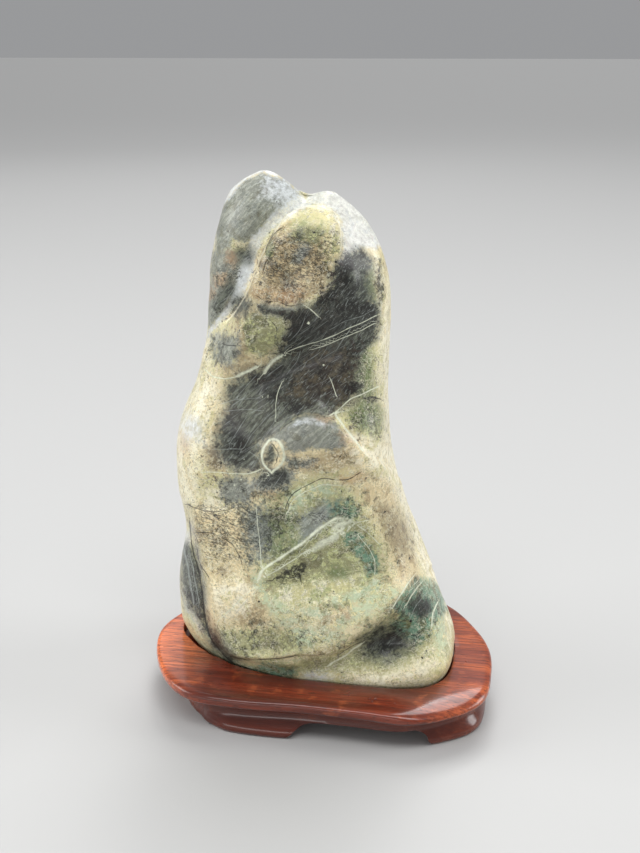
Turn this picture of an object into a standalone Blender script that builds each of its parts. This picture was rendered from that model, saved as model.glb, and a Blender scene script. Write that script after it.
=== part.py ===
"""A scholar's rock: a tall polished stone standing in a low carved hardwood stand.

Two pieces. The stone is one solid, a leaning slab with a high left peak and a lower right one. A long lobe
runs down its upper front, over a scooped hollow, a brow, a round belly with a bowl in it, and a lip at the
foot. The stand is one solid too, an oval board with a rounded rim, a waist, four bracket feet left between
arches, and a recess that the stone's foot drops into.

Lengths are in millimetres until a mesh is made, in metres. +X is the stone's right, -Y its front and +Z up.
The origin is on the ground, under the middle of the stand.
"""

import bmesh
import bpy
import numpy as np

METRES = 0.001

# ---- driving dimensions -------------------------------------------------------------------------------
STAND_HEIGHT = 17.0
ARCH_HEIGHT = 6.5  # from the ground up to the underside of the board
RECESS_DEPTH = 4.3
SEAT_GAP = 0.3  # between the stone's foot and the floor of the recess
SIDE_GAP = 0.6  # between the stone and the wall of the recess
STONE_FOOT = STAND_HEIGHT - RECESS_DEPTH + SEAT_GAP

# ---- the stone's outline ------------------------------------------------------------------------------
# How far the stone reaches to its left, right, front and back at each height, and how square its two front
# corners are: 2 rounds a corner as an ellipse does, less cuts it off, and more squares it.
STONE_LEVELS = (
    # height, left, right, front, back, front left corner, front right corner
    (STONE_FOOT, -56.5, 51.0, -29.5, 23.0, 1.7, 4.6),
    (20.0, -60.0, 53.0, -31.5, 26.0, 1.75, 4.6),
    (30.0, -61.0, 51.0, -29.0, 28.0, 1.8, 4.2),
    (41.0, -61.0, 47.0, -29.5, 29.0, 1.85, 3.8),
    (52.0, -59.0, 41.8, -31.0, 29.5, 1.95, 3.4),
    (66.0, -56.0, 35.6, -30.0, 29.0, 2.2, 3.2),
    (84.0, -58.2, 29.6, -28.5, 28.0, 2.3, 3.2),
    (98.0, -58.3, 26.2, -27.5, 27.0, 2.3, 3.2),
    (112.0, -55.6, 24.4, -26.0, 26.0, 2.2, 3.3),
    (124.0, -50.0, 23.6, -24.5, 25.0, 2.1, 3.4),
    (140.0, -45.6, 23.1, -22.5, 23.5, 2.1, 3.4),
    (160.0, -43.8, 23.2, -20.5, 22.0, 2.1, 3.2),
    (176.0, -42.2, 23.0, -19.0, 20.0, 2.1, 2.8),
    (186.0, -39.8, 21.0, -17.5, 17.5, 2.1, 2.5),
    (192.0, -37.2, 17.5, -14.5, 14.5, 2.1, 2.3),
    (197.5, -31.8, 11.0, -8.0, 10.0, 2.0, 2.0),
    (200.0, -24.5, 4.0, -2.5, 6.0, 2.0, 2.0),
)
SIDE_PLANE = 3.0  # how far back the stone is widest
BACK_CORNER = 2.4
FRONT_COLUMNS = 38
BACK_COLUMNS = 24
BODY_ROWS = 56
CAP_RINGS = 4
END_CROWDING = 0.4  # how much closer the rows are at the foot and the top than half way up
SECTION_STEPS = 60

# The dome that the levels make ends at DOME_TOP, and above BEND_FROM it is bent to this skyline.
DOME_TOP = 200.0
BEND_FROM = 120.0
SKYLINE = (
    # across, height
    (-46.0, 195.0),
    (-39.5, 197.0),
    (-35.5, 200.5),
    (-30.0, 202.5),
    (-24.0, 203.6),
    (-18.5, 203.0),
    (-13.0, 199.5),
    (-7.0, 195.5),
    (-3.0, 196.4),
    (1.0, 197.2),
    (5.0, 196.2),
    (10.0, 194.3),
    (16.5, 191.0),
    (21.0, 187.5),
    (26.0, 180.0),
)
RIDGE_DEPTH = 1.0
FRONT_FALL = 0.35  # how steeply the crown falls to the front of its ridge
BACK_FALL = 0.3

# Where the relief fades out: above the foot, from the stone's side plane to each face, and round the flanks.
FOOT_FADE = 5.0
FACE_FADE = 14.0
FLANK_FROM = 0.6  # as a share of half the stone's width
FLANK_START = 2.0
FLANK_FULL = 10.0


def smoothstep(low, high, value):
    share = np.clip((value - low) / (high - low), 0.0, 1.0)
    return share * share * (3.0 - 2.0 * share)


def along_table(table, places):
    """The table's rows at these places, on a smooth curve through its own rows."""
    table = np.array(table, float)
    knots, values = table[:, 0], table[:, 1:]
    steps = np.diff(knots)[:, None]
    chords = np.diff(values, axis=0) / steps
    inner = (chords[1:] * steps[:-1] + chords[:-1] * steps[1:]) / (steps[1:] + steps[:-1])
    slopes = np.vstack([chords[:1], inner, chords[-1:]])
    places = np.clip(places, knots[0], knots[-1])
    row = np.clip(np.searchsorted(knots, places, side="right") - 1, 0, len(knots) - 2)
    step = steps[row]
    t = (places - knots[row])[:, None] / step
    return (
        values[row] * (2 * t**3 - 3 * t**2 + 1)
        + slopes[row] * step * (t**3 - 2 * t**2 + t)
        + values[row + 1] * (3 * t**2 - 2 * t**3)
        + slopes[row + 1] * step * (t**3 - t**2)
    )


def smooth_path(points, closed=False, each=8):
    """A curve through the points, with this many steps from one point to the next."""
    points = np.array(points, float)
    if closed:
        around = np.vstack([points[-1:], points, points[:2]])
    else:
        around = np.vstack([2 * points[0] - points[1], points, 2 * points[-1] - points[-2]])
    t = np.linspace(0.0, 1.0, each, endpoint=False)[:, None]
    stretches = []
    for before, start, end, after in zip(around, around[1:], around[2:], around[3:]):
        bend = 2 * before - 5 * start + 4 * end - after
        twist = 3 * start - before - 3 * end + after
        stretches.append(0.5 * (2 * start + (end - before) * t + bend * t**2 + twist * t**3))
    return np.vstack(stretches if closed else [*stretches, points[-1:]])


# ---- relief: how far a face of the stone stands out or lies in, over places across it and up it --------
def mound(across, up, centre, radii, tilt=0.0):
    """1 at the centre, falling smoothly to 0 at twice the radii, turned by tilt degrees."""
    turn = np.radians(tilt)
    along = (across - centre[0]) * np.cos(turn) + (up - centre[1]) * np.sin(turn)
    over = (up - centre[1]) * np.cos(turn) - (across - centre[0]) * np.sin(turn)
    distance = np.sqrt((along / radii[0]) ** 2 + (over / radii[1]) ** 2)
    return 1.0 - smoothstep(0.0, 2.0, distance)


def stroke(across, up, path):
    """Each place's distance from a drawn path, positive on its left, and its share of the way along it."""
    path = smooth_path(path, each=6)
    starts, runs = path[:-1], np.diff(path, axis=0)
    lengths = np.linalg.norm(runs, axis=1)
    places = np.stack([across, up], axis=-1)[..., None, :]
    offset = places - starts
    share = np.clip((offset * runs).sum(-1) / lengths**2, 0.0, 1.0)
    away = offset - share[..., None] * runs
    distance = np.linalg.norm(away, axis=-1)
    nearest = distance.argmin(-1)
    pick = nearest[..., None]
    turn = runs[:, 0] * away[..., 1] - runs[:, 1] * away[..., 0]
    side = np.sign(np.take_along_axis(turn, pick, -1))[..., 0]
    passed = np.concatenate([[0.0], np.cumsum(lengths)])
    way = passed[nearest] + np.take_along_axis(share, pick, -1)[..., 0] * lengths[nearest]
    return side * np.take_along_axis(distance, pick, -1)[..., 0], way / passed[-1]


def taper(way, ends=0.2):
    return smoothstep(0.0, ends, way) * smoothstep(0.0, ends, 1.0 - way)


def groove(across, up, path, width, ends=0.2):
    """1 along the path and 0 a width away from it. Taken away, it is a groove, and added, a ridge."""
    distance, way = stroke(across, up, path)
    return np.exp(-((distance / width) ** 2)) * taper(way, ends)


def ledge(across, up, path, soft, reach, ends=0.2):
    """A step up on the left of the path, over a soft width, which dies away at its reach."""
    distance, way = stroke(across, up, path)
    fading = 1.0 - smoothstep(0.0, reach, distance)
    return smoothstep(-soft, soft, distance) * fading * taper(way, ends)


LOBE_EDGE = (
    (13, 184),
    (8, 191),
    (-2, 193),
    (-10, 189),
    (-17, 178),
    (-22, 168),
    (-26, 156),
    (-32, 144),
    (-38, 135),
)
VALLEY = ((-44, 134), (-37, 148), (-31, 162), (-26, 174), (-19, 187), (-9, 197))
CRACK = ((-19, 80), (-14, 87), (-8, 92.5), (-3, 96.5), (2, 99.5), (12, 100.5), (22, 104))
VEIN_RIDGE = ((-22, 56), (-11, 64), (-3, 71), (5, 77), (13, 84))
SHOULDER = (
    (39, 86),
    (32, 99),
    (26, 109),
    (19, 117),
    (12, 121.5),
    (4, 123),
    (-6, 121),
    (-13, 114),
    (-17, 105),
)
BELLY_EDGE = (
    (-38, 26),
    (-31, 23),
    (-21, 22),
    (-5, 23.5),
    (7, 28),
    (14, 33),
    (22, 40),
    (32, 50),
    (39, 60),
)
FLAP_CREASE = ((-50, 86), (-47.5, 72), (-45.5, 60), (-43, 45), (-39, 31), (-34, 23), (-28, 18))


def upper_front(x, z):
    """The lobe, crisp on its left and top and soft on its right, and the valley worn beside it."""
    lobe = 4.6 * mound(x, z, (-8, 163), (11, 22), tilt=-27)
    edge = 4.0 * ledge(x, z, LOBE_EDGE, 2.6, 15, ends=0.1)
    valley = 3.6 * groove(x, z, VALLEY, 4.6, ends=0.15)
    right_bevel = 3.0 * mound(x, z, (19, 154), (7, 22), tilt=8)
    top_bevel = 4.0 * mound(x, z, (19, 184), (6, 8), tilt=-40)
    return lobe + edge - valley - right_bevel - top_bevel


def middle_front(x, z):
    """The scooped hollow, the brow that stands out under it, and the knob at the brow's left end."""
    hollow = 6.4 * mound(x, z, (-7, 138), (20, 9.5), tilt=27)
    hollow_foot = 4.2 * mound(x, z, (-27, 114), (8, 11), tilt=35)
    brow = 2.4 * mound(x, z, (6, 109), (14, 9), tilt=-16)
    shoulder = 3.6 * ledge(x, z, SHOULDER, 3.6, 17)
    scoop = 3.6 * mound(x, z, (22, 122), (7, 9), tilt=-35)
    knob = 1.8 * mound(x, z, (-15, 107), (3.4, 4.6), tilt=60)
    cheek = 2.6 * mound(x, z, (-46, 106), (6, 18))
    return brow + shoulder + knob + cheek - hollow - hollow_foot - scoop


def lower_front(x, z):
    """The belly with the bowl sunk in it, the crack and the vein that cross it, and its overhanging edge."""
    belly = 5.0 * mound(x, z, (-12, 42), (27, 15), tilt=18)
    belly_edge = 3.8 * ledge(x, z, BELLY_EDGE, 2.8, 20, ends=0.12)
    bowl = 5.6 * mound(x, z, (8, 60), (14, 9), tilt=22)
    shelf = 1.6 * ledge(x, z, CRACK, 2.6, 12)
    vein = 1.6 * groove(x, z, VEIN_RIDGE, 3.2)
    shade = 6.0 * mound(x, z, (30, 32), (10, 6.5), tilt=38)
    side = 3.4 * ledge(x, z, FLAP_CREASE, 2.8, 16, ends=0.15)
    crease = 1.4 * groove(x, z, FLAP_CREASE, 3.2)
    shin = 3.0 * mound(x, z, (34, 72), (5, 18), tilt=15)
    dip = 2.4 * mound(x, z, (-36, 86), (9, 6), tilt=20)
    return belly + belly_edge + shelf + vein + side + shin - crease - bowl - shade - dip


BACK_FURROW = ((-30, 176), (-22, 150), (-20, 126), (-8, 104), (-6, 82), (4, 60), (3, 42))
BACK_LEDGE = ((44, 40), (28, 52), (12, 54), (-6, 66), (-24, 70), (-44, 86))
BACK_EDGE = ((16, 178), (12, 160), (15, 140), (8, 124), (14, 108))


def back(x, z):
    """Soft lumps parted by a long furrow, with a worn ledge across the lower third."""
    lumps = (
        4.0 * mound(x, z, (8, 140), (13, 26), tilt=10)
        + 3.6 * mound(x, z, (-34, 104), (12, 20))
        + 4.4 * mound(x, z, (-22, 42), (22, 14), tilt=-10)
        + 3.0 * mound(x, z, (27, 34), (16, 10), tilt=20)
    )
    furrow = 5.0 * groove(x, z, BACK_FURROW, 6.0)
    hollow = 6.0 * mound(x, z, (12, 84), (12, 15), tilt=35) + 4.0 * mound(x, z, (-26, 150), (7, 14))
    step = 3.6 * ledge(x, z, BACK_LEDGE, 2.2, 18) + 2.4 * ledge(x, z, BACK_EDGE, 2.0, 9)
    return lumps + step - furrow - hollow


def flanks(y, z):
    """Shallow dents and swellings on the two narrow sides."""
    return (
        1.6 * mound(y, z, (12, 152), (5, 18))
        - 2.2 * mound(y, z, (15, 104), (5, 12), tilt=20)
        + 1.8 * mound(y, z, (16, 66), (6, 12))
        - 2.4 * mound(y, z, (14, 38), (6, 10), tilt=-30)
    )


def section(level):
    """One level's outline, anticlockwise from above, from its right end round the back and the front."""
    left, right, front, rear, left_corner, right_corner = level
    middle = (left + right) / 2
    half = (right - left) / 2
    quarter = np.linspace(0.0, np.pi / 2, SECTION_STEPS)

    def corner(side, depth, squareness):
        """From the side's middle plane to the front's or the back's middle."""
        x = middle + side * half * np.cos(quarter) ** (2.0 / squareness)
        y = SIDE_PLANE + (depth - SIDE_PLANE) * np.sin(quarter) ** (2.0 / squareness)
        return np.stack([x, y], axis=-1)

    behind = np.vstack([corner(1, rear, BACK_CORNER), corner(-1, rear, BACK_CORNER)[::-1]])
    ahead = np.vstack([corner(-1, front, left_corner), corner(1, front, right_corner)[::-1]])
    return np.vstack([spaced(behind, BACK_COLUMNS), spaced(ahead, FRONT_COLUMNS)])


def spaced(points, count):
    """This many points along the outline, evenly spaced, leaving out its last."""
    lengths = np.linalg.norm(np.diff(points, axis=0), axis=1)
    passed = np.concatenate([[0.0], np.cumsum(lengths)])
    wanted = np.linspace(0.0, passed[-1], count, endpoint=False)
    return np.stack([np.interp(wanted, passed, points[:, axis]) for axis in (0, 1)], axis=-1)


def plain_stone():
    """The stone's rows of points before any relief, from its foot to the last ring round its top."""
    even = np.linspace(0.0, 1.0, BODY_ROWS)
    crowded = (1.0 - np.cos(np.pi * even)) / 2.0
    heights = STONE_FOOT + (DOME_TOP - STONE_FOOT) * (even + END_CROWDING * (crowded - even))
    rows = []
    for height, level in zip(heights, along_table(STONE_LEVELS, heights)):
        outline = section(level)
        rows.append(np.column_stack([outline, np.full(len(outline), height)]))
    top = rows[-1]
    centre = top.mean(axis=0)
    for ring in range(1, CAP_RINGS):
        rows.append(centre + (top - centre) * (1.0 - ring / CAP_RINGS))
    return np.array(rows)


def bend_crown(x, y, z):
    """The heights once the dome is bent to the skyline, and to the front and the back of its ridge."""
    skyline = along_table(SKYLINE, x.ravel())[:, 0].reshape(x.shape)
    fall = FRONT_FALL * np.maximum(RIDGE_DEPTH - y, 0.0) + BACK_FALL * np.maximum(y - RIDGE_DEPTH, 0.0)
    return z + (skyline - fall - DOME_TOP) * smoothstep(BEND_FROM, DOME_TOP, z)


def carved_stone():
    """The stone's rows of points with its relief, which fades out at the flat of its foot."""
    x, y, plain_z = np.moveaxis(plain_stone(), -1, 0)
    z = bend_crown(x, y, plain_z)
    free = smoothstep(STONE_FOOT, STONE_FOOT + FOOT_FADE, z)
    ahead = smoothstep(0.0, FACE_FADE, SIDE_PLANE - y)
    behind = smoothstep(0.0, FACE_FADE, y - SIDE_PLANE)
    front_out = upper_front(x, z) + middle_front(x, z) + lower_front(x, z)
    middle = (x.min(axis=1) + x.max(axis=1))[:, None] / 2
    half = (x.max(axis=1) - x.min(axis=1))[:, None] / 2
    outer = smoothstep(FLANK_FROM, 1.0, np.abs(x - middle) / half)
    beside = outer * smoothstep(FLANK_START, FLANK_FULL, y)
    carved_x = x + np.sign(x - middle) * free * beside * flanks(y, z)
    carved_y = y + free * (behind * back(x, z) - ahead * front_out)
    return np.stack([carved_x, carved_y, z], axis=-1)


def stone_mesh():
    rows = carved_stone()
    count = rows.shape[1]
    mesh = bmesh.new()
    rings = [[mesh.verts.new(tuple(point * METRES)) for point in row] for row in rows]
    for lower, upper in zip(rings, rings[1:]):
        for i in range(count):
            after = (i + 1) % count
            mesh.faces.new((lower[i], lower[after], upper[after], upper[i]))
    for ring, turned in ((rings[0], True), (rings[-1], False)):
        middle = mesh.verts.new(tuple(np.mean([vertex.co for vertex in ring], axis=0)))
        for i in range(count):
            after = (i + 1) % count
            mesh.faces.new((middle, ring[after], ring[i]) if turned else (middle, ring[i], ring[after]))
    return mesh


# ---- the stand ----------------------------------------------------------------------------------------
# The rim seen from above, anticlockwise from its right end. Its front edge is nearly straight.
RIM = (
    (68.2, -12.0),
    (67.0, 4.0),
    (61.0, 19.0),
    (50.0, 35.0),
    (33.0, 46.0),
    (6.0, 49.2),
    (-24.0, 46.5),
    (-48.0, 34.0),
    (-62.0, 14.0),
    (-68.2, -6.0),
    (-60.5, -30.0),
    (-46.0, -46.0),
    (-26.0, -49.2),
    (0.0, -48.0),
    (22.0, -48.3),
    (40.0, -48.5),
    (56.0, -40.5),
    (66.0, -29.0),
)
RIM_STEPS = 4
# How far the side of the stand lies in from the rim at each height: a flared foot, a waist, a round edge.
SIDE_PROFILE = (
    # height, inset
    (0.0, 2.9),
    (0.5, 2.1),
    (1.8, 1.6),
    (3.4, 2.1),
    (5.4, 3.8),
    (7.6, 5.2),
    (9.8, 5.2),
    (11.4, 3.6),
    (12.5, 1.6),
    (13.4, 0.4),
    (14.6, 0.0),
    (15.8, 0.2),
    (16.6, 0.9),
    (STAND_HEIGHT, 2.0),
)
# How much further in than that the feet stand, from one end of the stand to the other.
FOOT_TUCK = (
    (-68.0, 8.5),
    (-46.0, 7.0),
    (-30.0, 1.2),
    (-10.0, 0.0),
    (28.0, 0.0),
    (45.0, 3.2),
    (56.0, 2.0),
    (68.5, 0.0),
)
TUCK_FROM = 3.0  # the height where the tuck starts to fade, and where it ends
TUCK_END = 13.0
HOLLOW_INSET = 12.0  # from the rim to the hollow under the board, the tuck apart
HOLLOW_HEIGHT = 7.1
# The arch between each pair of feet, as places along the stand and heights: how it rises, and how it falls.
FRONT_ARCH = (
    ((-8.0, 0.0), (-5.6, 1.4), (-3.4, 3.6), (0.0, 5.7), (8.0, ARCH_HEIGHT)),
    ((37.0, ARCH_HEIGHT), (42.5, 5.8), (45.5, 4.2), (46.6, 2.0), (48.0, 0.0)),
)
BACK_ARCH = (
    ((-22.0, 0.0), (-19.6, 1.4), (-17.4, 3.6), (-14.0, 5.7), (-6.0, ARCH_HEIGHT)),
    ((14.0, ARCH_HEIGHT), (22.0, 5.7), (25.4, 3.6), (27.6, 1.4), (30.0, 0.0)),
)
SIDE_RISE = ARCH_HEIGHT - 0.4
LEFT_ARCH = (
    ((-18.0, 0.0), (-16.6, 1.6), (-14.8, 3.8), (-11.0, 5.4), (-6.0, SIDE_RISE)),
    ((1.0, SIDE_RISE), (6.0, 5.4), (9.2, 3.6), (10.6, 1.6), (12.0, 0.0)),
)
RIGHT_ARCH = (
    ((-7.0, 0.0), (-5.8, 1.6), (-4.0, 3.8), (-1.0, 5.4), (3.0, SIDE_RISE)),
    ((6.0, SIDE_RISE), (10.0, 5.4), (13.0, 3.6), (14.6, 1.6), (16.0, 0.0)),
)
CLEAR = 4.0  # how far a cutter reaches past the face that it cuts through
BEYOND = 90.0  # how far the arches' cutters reach, clear of the rim


def inward(outline):
    """The direction into a closed anticlockwise outline at each of its points."""
    run = np.roll(outline, -1, axis=0) - np.roll(outline, 1, axis=0)
    return np.column_stack([-run[:, 1], run[:, 0]]) / np.linalg.norm(run, axis=1)[:, None]


def skin(mesh, rings):
    """Bridges the rings in turn and closes both ends."""
    loops = [[mesh.verts.new(tuple(np.array(point) * METRES)) for point in ring] for ring in rings]
    for lower, upper in zip(loops, loops[1:]):
        for i, start in enumerate(lower):
            after = (i + 1) % len(lower)
            mesh.faces.new((start, lower[after], upper[after], upper[i]))
    mesh.faces.new(loops[0][::-1])
    mesh.faces.new(loops[-1])


def foot_tuck(rim):
    return along_table(FOOT_TUCK, rim[:, 0])


def board_mesh():
    rim = smooth_path(RIM, closed=True, each=RIM_STEPS)
    mesh = bmesh.new()
    rings = []
    for height, inset in SIDE_PROFILE:
        low = 1.0 - smoothstep(TUCK_FROM, TUCK_END, height)
        ring = rim + inward(rim) * (inset + foot_tuck(rim) * low)
        rings.append(np.column_stack([ring, np.full(len(ring), height)]))
    skin(mesh, rings)
    return mesh


def prism_mesh(outline, low, high):
    mesh = bmesh.new()
    skin(mesh, [np.column_stack([outline, np.full(len(outline), height)]) for height in (low, high)])
    return mesh


def arch_mesh(arch, reach, along_y):
    """A cutter with the arch's opening, from the middle of the stand out to reach along Y or along X."""
    curve = np.vstack([smooth_path(half, each=3) for half in arch])
    opening = np.vstack([[curve[0, 0], -CLEAR], curve, [curve[-1, 0], -CLEAR]])
    axis = 1 if along_y else 0
    mesh = bmesh.new()
    skin(mesh, [np.insert(opening, axis, outward, axis=1) for outward in (0.0, reach)])
    return mesh


def recess_outline(rows):
    """The widest outline of the stone's buried foot, with room to spare round it."""
    buried = rows[rows[:, 0, 2] <= STAND_HEIGHT + 1.0]
    centre = buried[0].mean(axis=0)[:2]
    reach = np.linalg.norm(buried[..., :2] - centre, axis=-1)
    widest = buried[reach.argmax(axis=0), np.arange(rows.shape[1]), :2]
    return widest - inward(widest) * SIDE_GAP


# ---- the objects --------------------------------------------------------------------------------------
def material(name, colour, roughness):
    made = bpy.data.materials.new(name)
    made.use_nodes = True
    shader = made.node_tree.nodes["Principled BSDF"]
    shader.inputs["Base Color"].default_value = (*colour, 1.0)
    shader.inputs["Roughness"].default_value = roughness
    shader.inputs["Metallic"].default_value = 0.0
    return made


def make_object(name, mesh, finish=None):
    """A named object from a bmesh, its faces turned outwards. One with no finish is a cutter."""
    bmesh.ops.recalc_face_normals(mesh, faces=mesh.faces)
    data = bpy.data.meshes.new(name)
    mesh.to_mesh(data)
    mesh.free()
    made = bpy.data.objects.new(name, data)
    bpy.context.scene.collection.objects.link(made)
    if finish:
        data.materials.append(finish)
        data.shade_smooth()
        data.set_sharp_from_angle(angle=np.radians(40.0))
    else:
        made.hide_render = True
        made.display_type = "WIRE"
    return made


def cut(target, cutter):
    modifier = target.modifiers.new(cutter.name, "BOOLEAN")
    modifier.operation = "DIFFERENCE"
    modifier.solver = "EXACT"
    modifier.object = cutter


def make_stand(stone_rows):
    stand = make_object("stand", board_mesh(), material("rosewood", (0.13, 0.035, 0.018), 0.3))
    rim = smooth_path(RIM, closed=True, each=2)
    under = rim + inward(rim) * (HOLLOW_INSET + foot_tuck(rim))
    recess = recess_outline(stone_rows)
    cutters = (
        ("recess_cutter", prism_mesh(recess, STAND_HEIGHT - RECESS_DEPTH, STAND_HEIGHT + CLEAR)),
        ("hollow_cutter", prism_mesh(under, -CLEAR, HOLLOW_HEIGHT)),
        ("front_arch_cutter", arch_mesh(FRONT_ARCH, -BEYOND, along_y=True)),
        ("back_arch_cutter", arch_mesh(BACK_ARCH, BEYOND, along_y=True)),
        ("left_arch_cutter", arch_mesh(LEFT_ARCH, -BEYOND, along_y=False)),
        ("right_arch_cutter", arch_mesh(RIGHT_ARCH, BEYOND, along_y=False)),
    )
    for name, mesh in cutters:
        cut(stand, make_object(name, mesh))
    return stand


def main():
    for existing in list(bpy.data.objects):
        bpy.data.objects.remove(existing, do_unlink=True)
    make_object("stone", stone_mesh(), material("polished_stone", (0.33, 0.32, 0.22), 0.32))
    make_stand(carved_stone())


main()
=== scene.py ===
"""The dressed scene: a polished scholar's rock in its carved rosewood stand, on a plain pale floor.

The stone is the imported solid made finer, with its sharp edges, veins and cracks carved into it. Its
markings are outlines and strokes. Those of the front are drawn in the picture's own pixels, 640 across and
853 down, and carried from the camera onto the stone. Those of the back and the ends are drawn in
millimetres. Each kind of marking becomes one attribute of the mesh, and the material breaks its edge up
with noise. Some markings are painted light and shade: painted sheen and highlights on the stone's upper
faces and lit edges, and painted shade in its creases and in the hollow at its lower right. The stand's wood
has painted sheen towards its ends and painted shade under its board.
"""

import math

import bmesh
import bpy
import numpy as np
from mathutils import Matrix, Vector, noise


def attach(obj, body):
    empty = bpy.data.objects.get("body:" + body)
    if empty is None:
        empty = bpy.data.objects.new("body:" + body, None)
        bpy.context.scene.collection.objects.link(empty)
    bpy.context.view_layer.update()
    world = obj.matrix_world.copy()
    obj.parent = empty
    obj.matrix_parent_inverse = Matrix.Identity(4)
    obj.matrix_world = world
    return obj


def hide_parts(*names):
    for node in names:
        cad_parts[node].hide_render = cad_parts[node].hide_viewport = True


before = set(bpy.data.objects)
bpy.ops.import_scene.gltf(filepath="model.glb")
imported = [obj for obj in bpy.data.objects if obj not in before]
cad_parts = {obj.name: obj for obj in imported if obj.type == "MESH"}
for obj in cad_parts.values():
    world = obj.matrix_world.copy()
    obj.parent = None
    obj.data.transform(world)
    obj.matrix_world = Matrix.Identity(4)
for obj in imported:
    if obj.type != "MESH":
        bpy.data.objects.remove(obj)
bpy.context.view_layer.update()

MM = 0.001
NOISE_SEED = 11  # without a seed, mathutils draws its noise from the clock, and each run differs

# ---- the camera ---------------------------------------------------------------------------------------
PICTURE_WIDTH = 640
PICTURE_HEIGHT = 853
FOCAL_PIXELS = 1050.0
CAMERA_AZIMUTH = math.radians(10.0)
CAMERA_ELEVATION = math.radians(20.0)
CAMERA_DISTANCE = 410.0 * MM
CAMERA_TARGET = np.array([-3.5, 10.0, 105.0]) * MM
SENSOR_WIDTH = 36.0


def camera_axes():
    """The camera's right, up and backward directions."""
    back = np.array(
        [
            math.sin(CAMERA_AZIMUTH) * math.cos(CAMERA_ELEVATION),
            -math.cos(CAMERA_AZIMUTH) * math.cos(CAMERA_ELEVATION),
            math.sin(CAMERA_ELEVATION),
        ]
    )
    right = np.cross([0.0, 0.0, 1.0], back)
    right /= np.linalg.norm(right)
    return right, np.cross(back, right), back


RIGHT, UP, BACK = camera_axes()
CAMERA_PLACE = CAMERA_TARGET + BACK * CAMERA_DISTANCE


def in_picture(points):
    """Where points in metres fall in the picture, in pixels from its top left corner."""
    seen = points - CAMERA_PLACE
    depth = -(seen @ BACK)
    across = PICTURE_WIDTH / 2 + FOCAL_PIXELS * (seen @ RIGHT) / depth
    down = PICTURE_HEIGHT / 2 - FOCAL_PIXELS * (seen @ UP) / depth
    return np.stack([across, down], axis=-1)


def make_camera():
    data = bpy.data.cameras.new("camera")
    data.sensor_width = SENSOR_WIDTH
    data.lens = FOCAL_PIXELS / PICTURE_HEIGHT * SENSOR_WIDTH
    camera = bpy.data.objects.new("camera", data)
    camera.location = CAMERA_PLACE
    camera.rotation_euler = Vector(BACK).to_track_quat("Z", "Y").to_euler()
    bpy.context.scene.collection.objects.link(camera)
    bpy.context.scene.camera = camera


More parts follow.
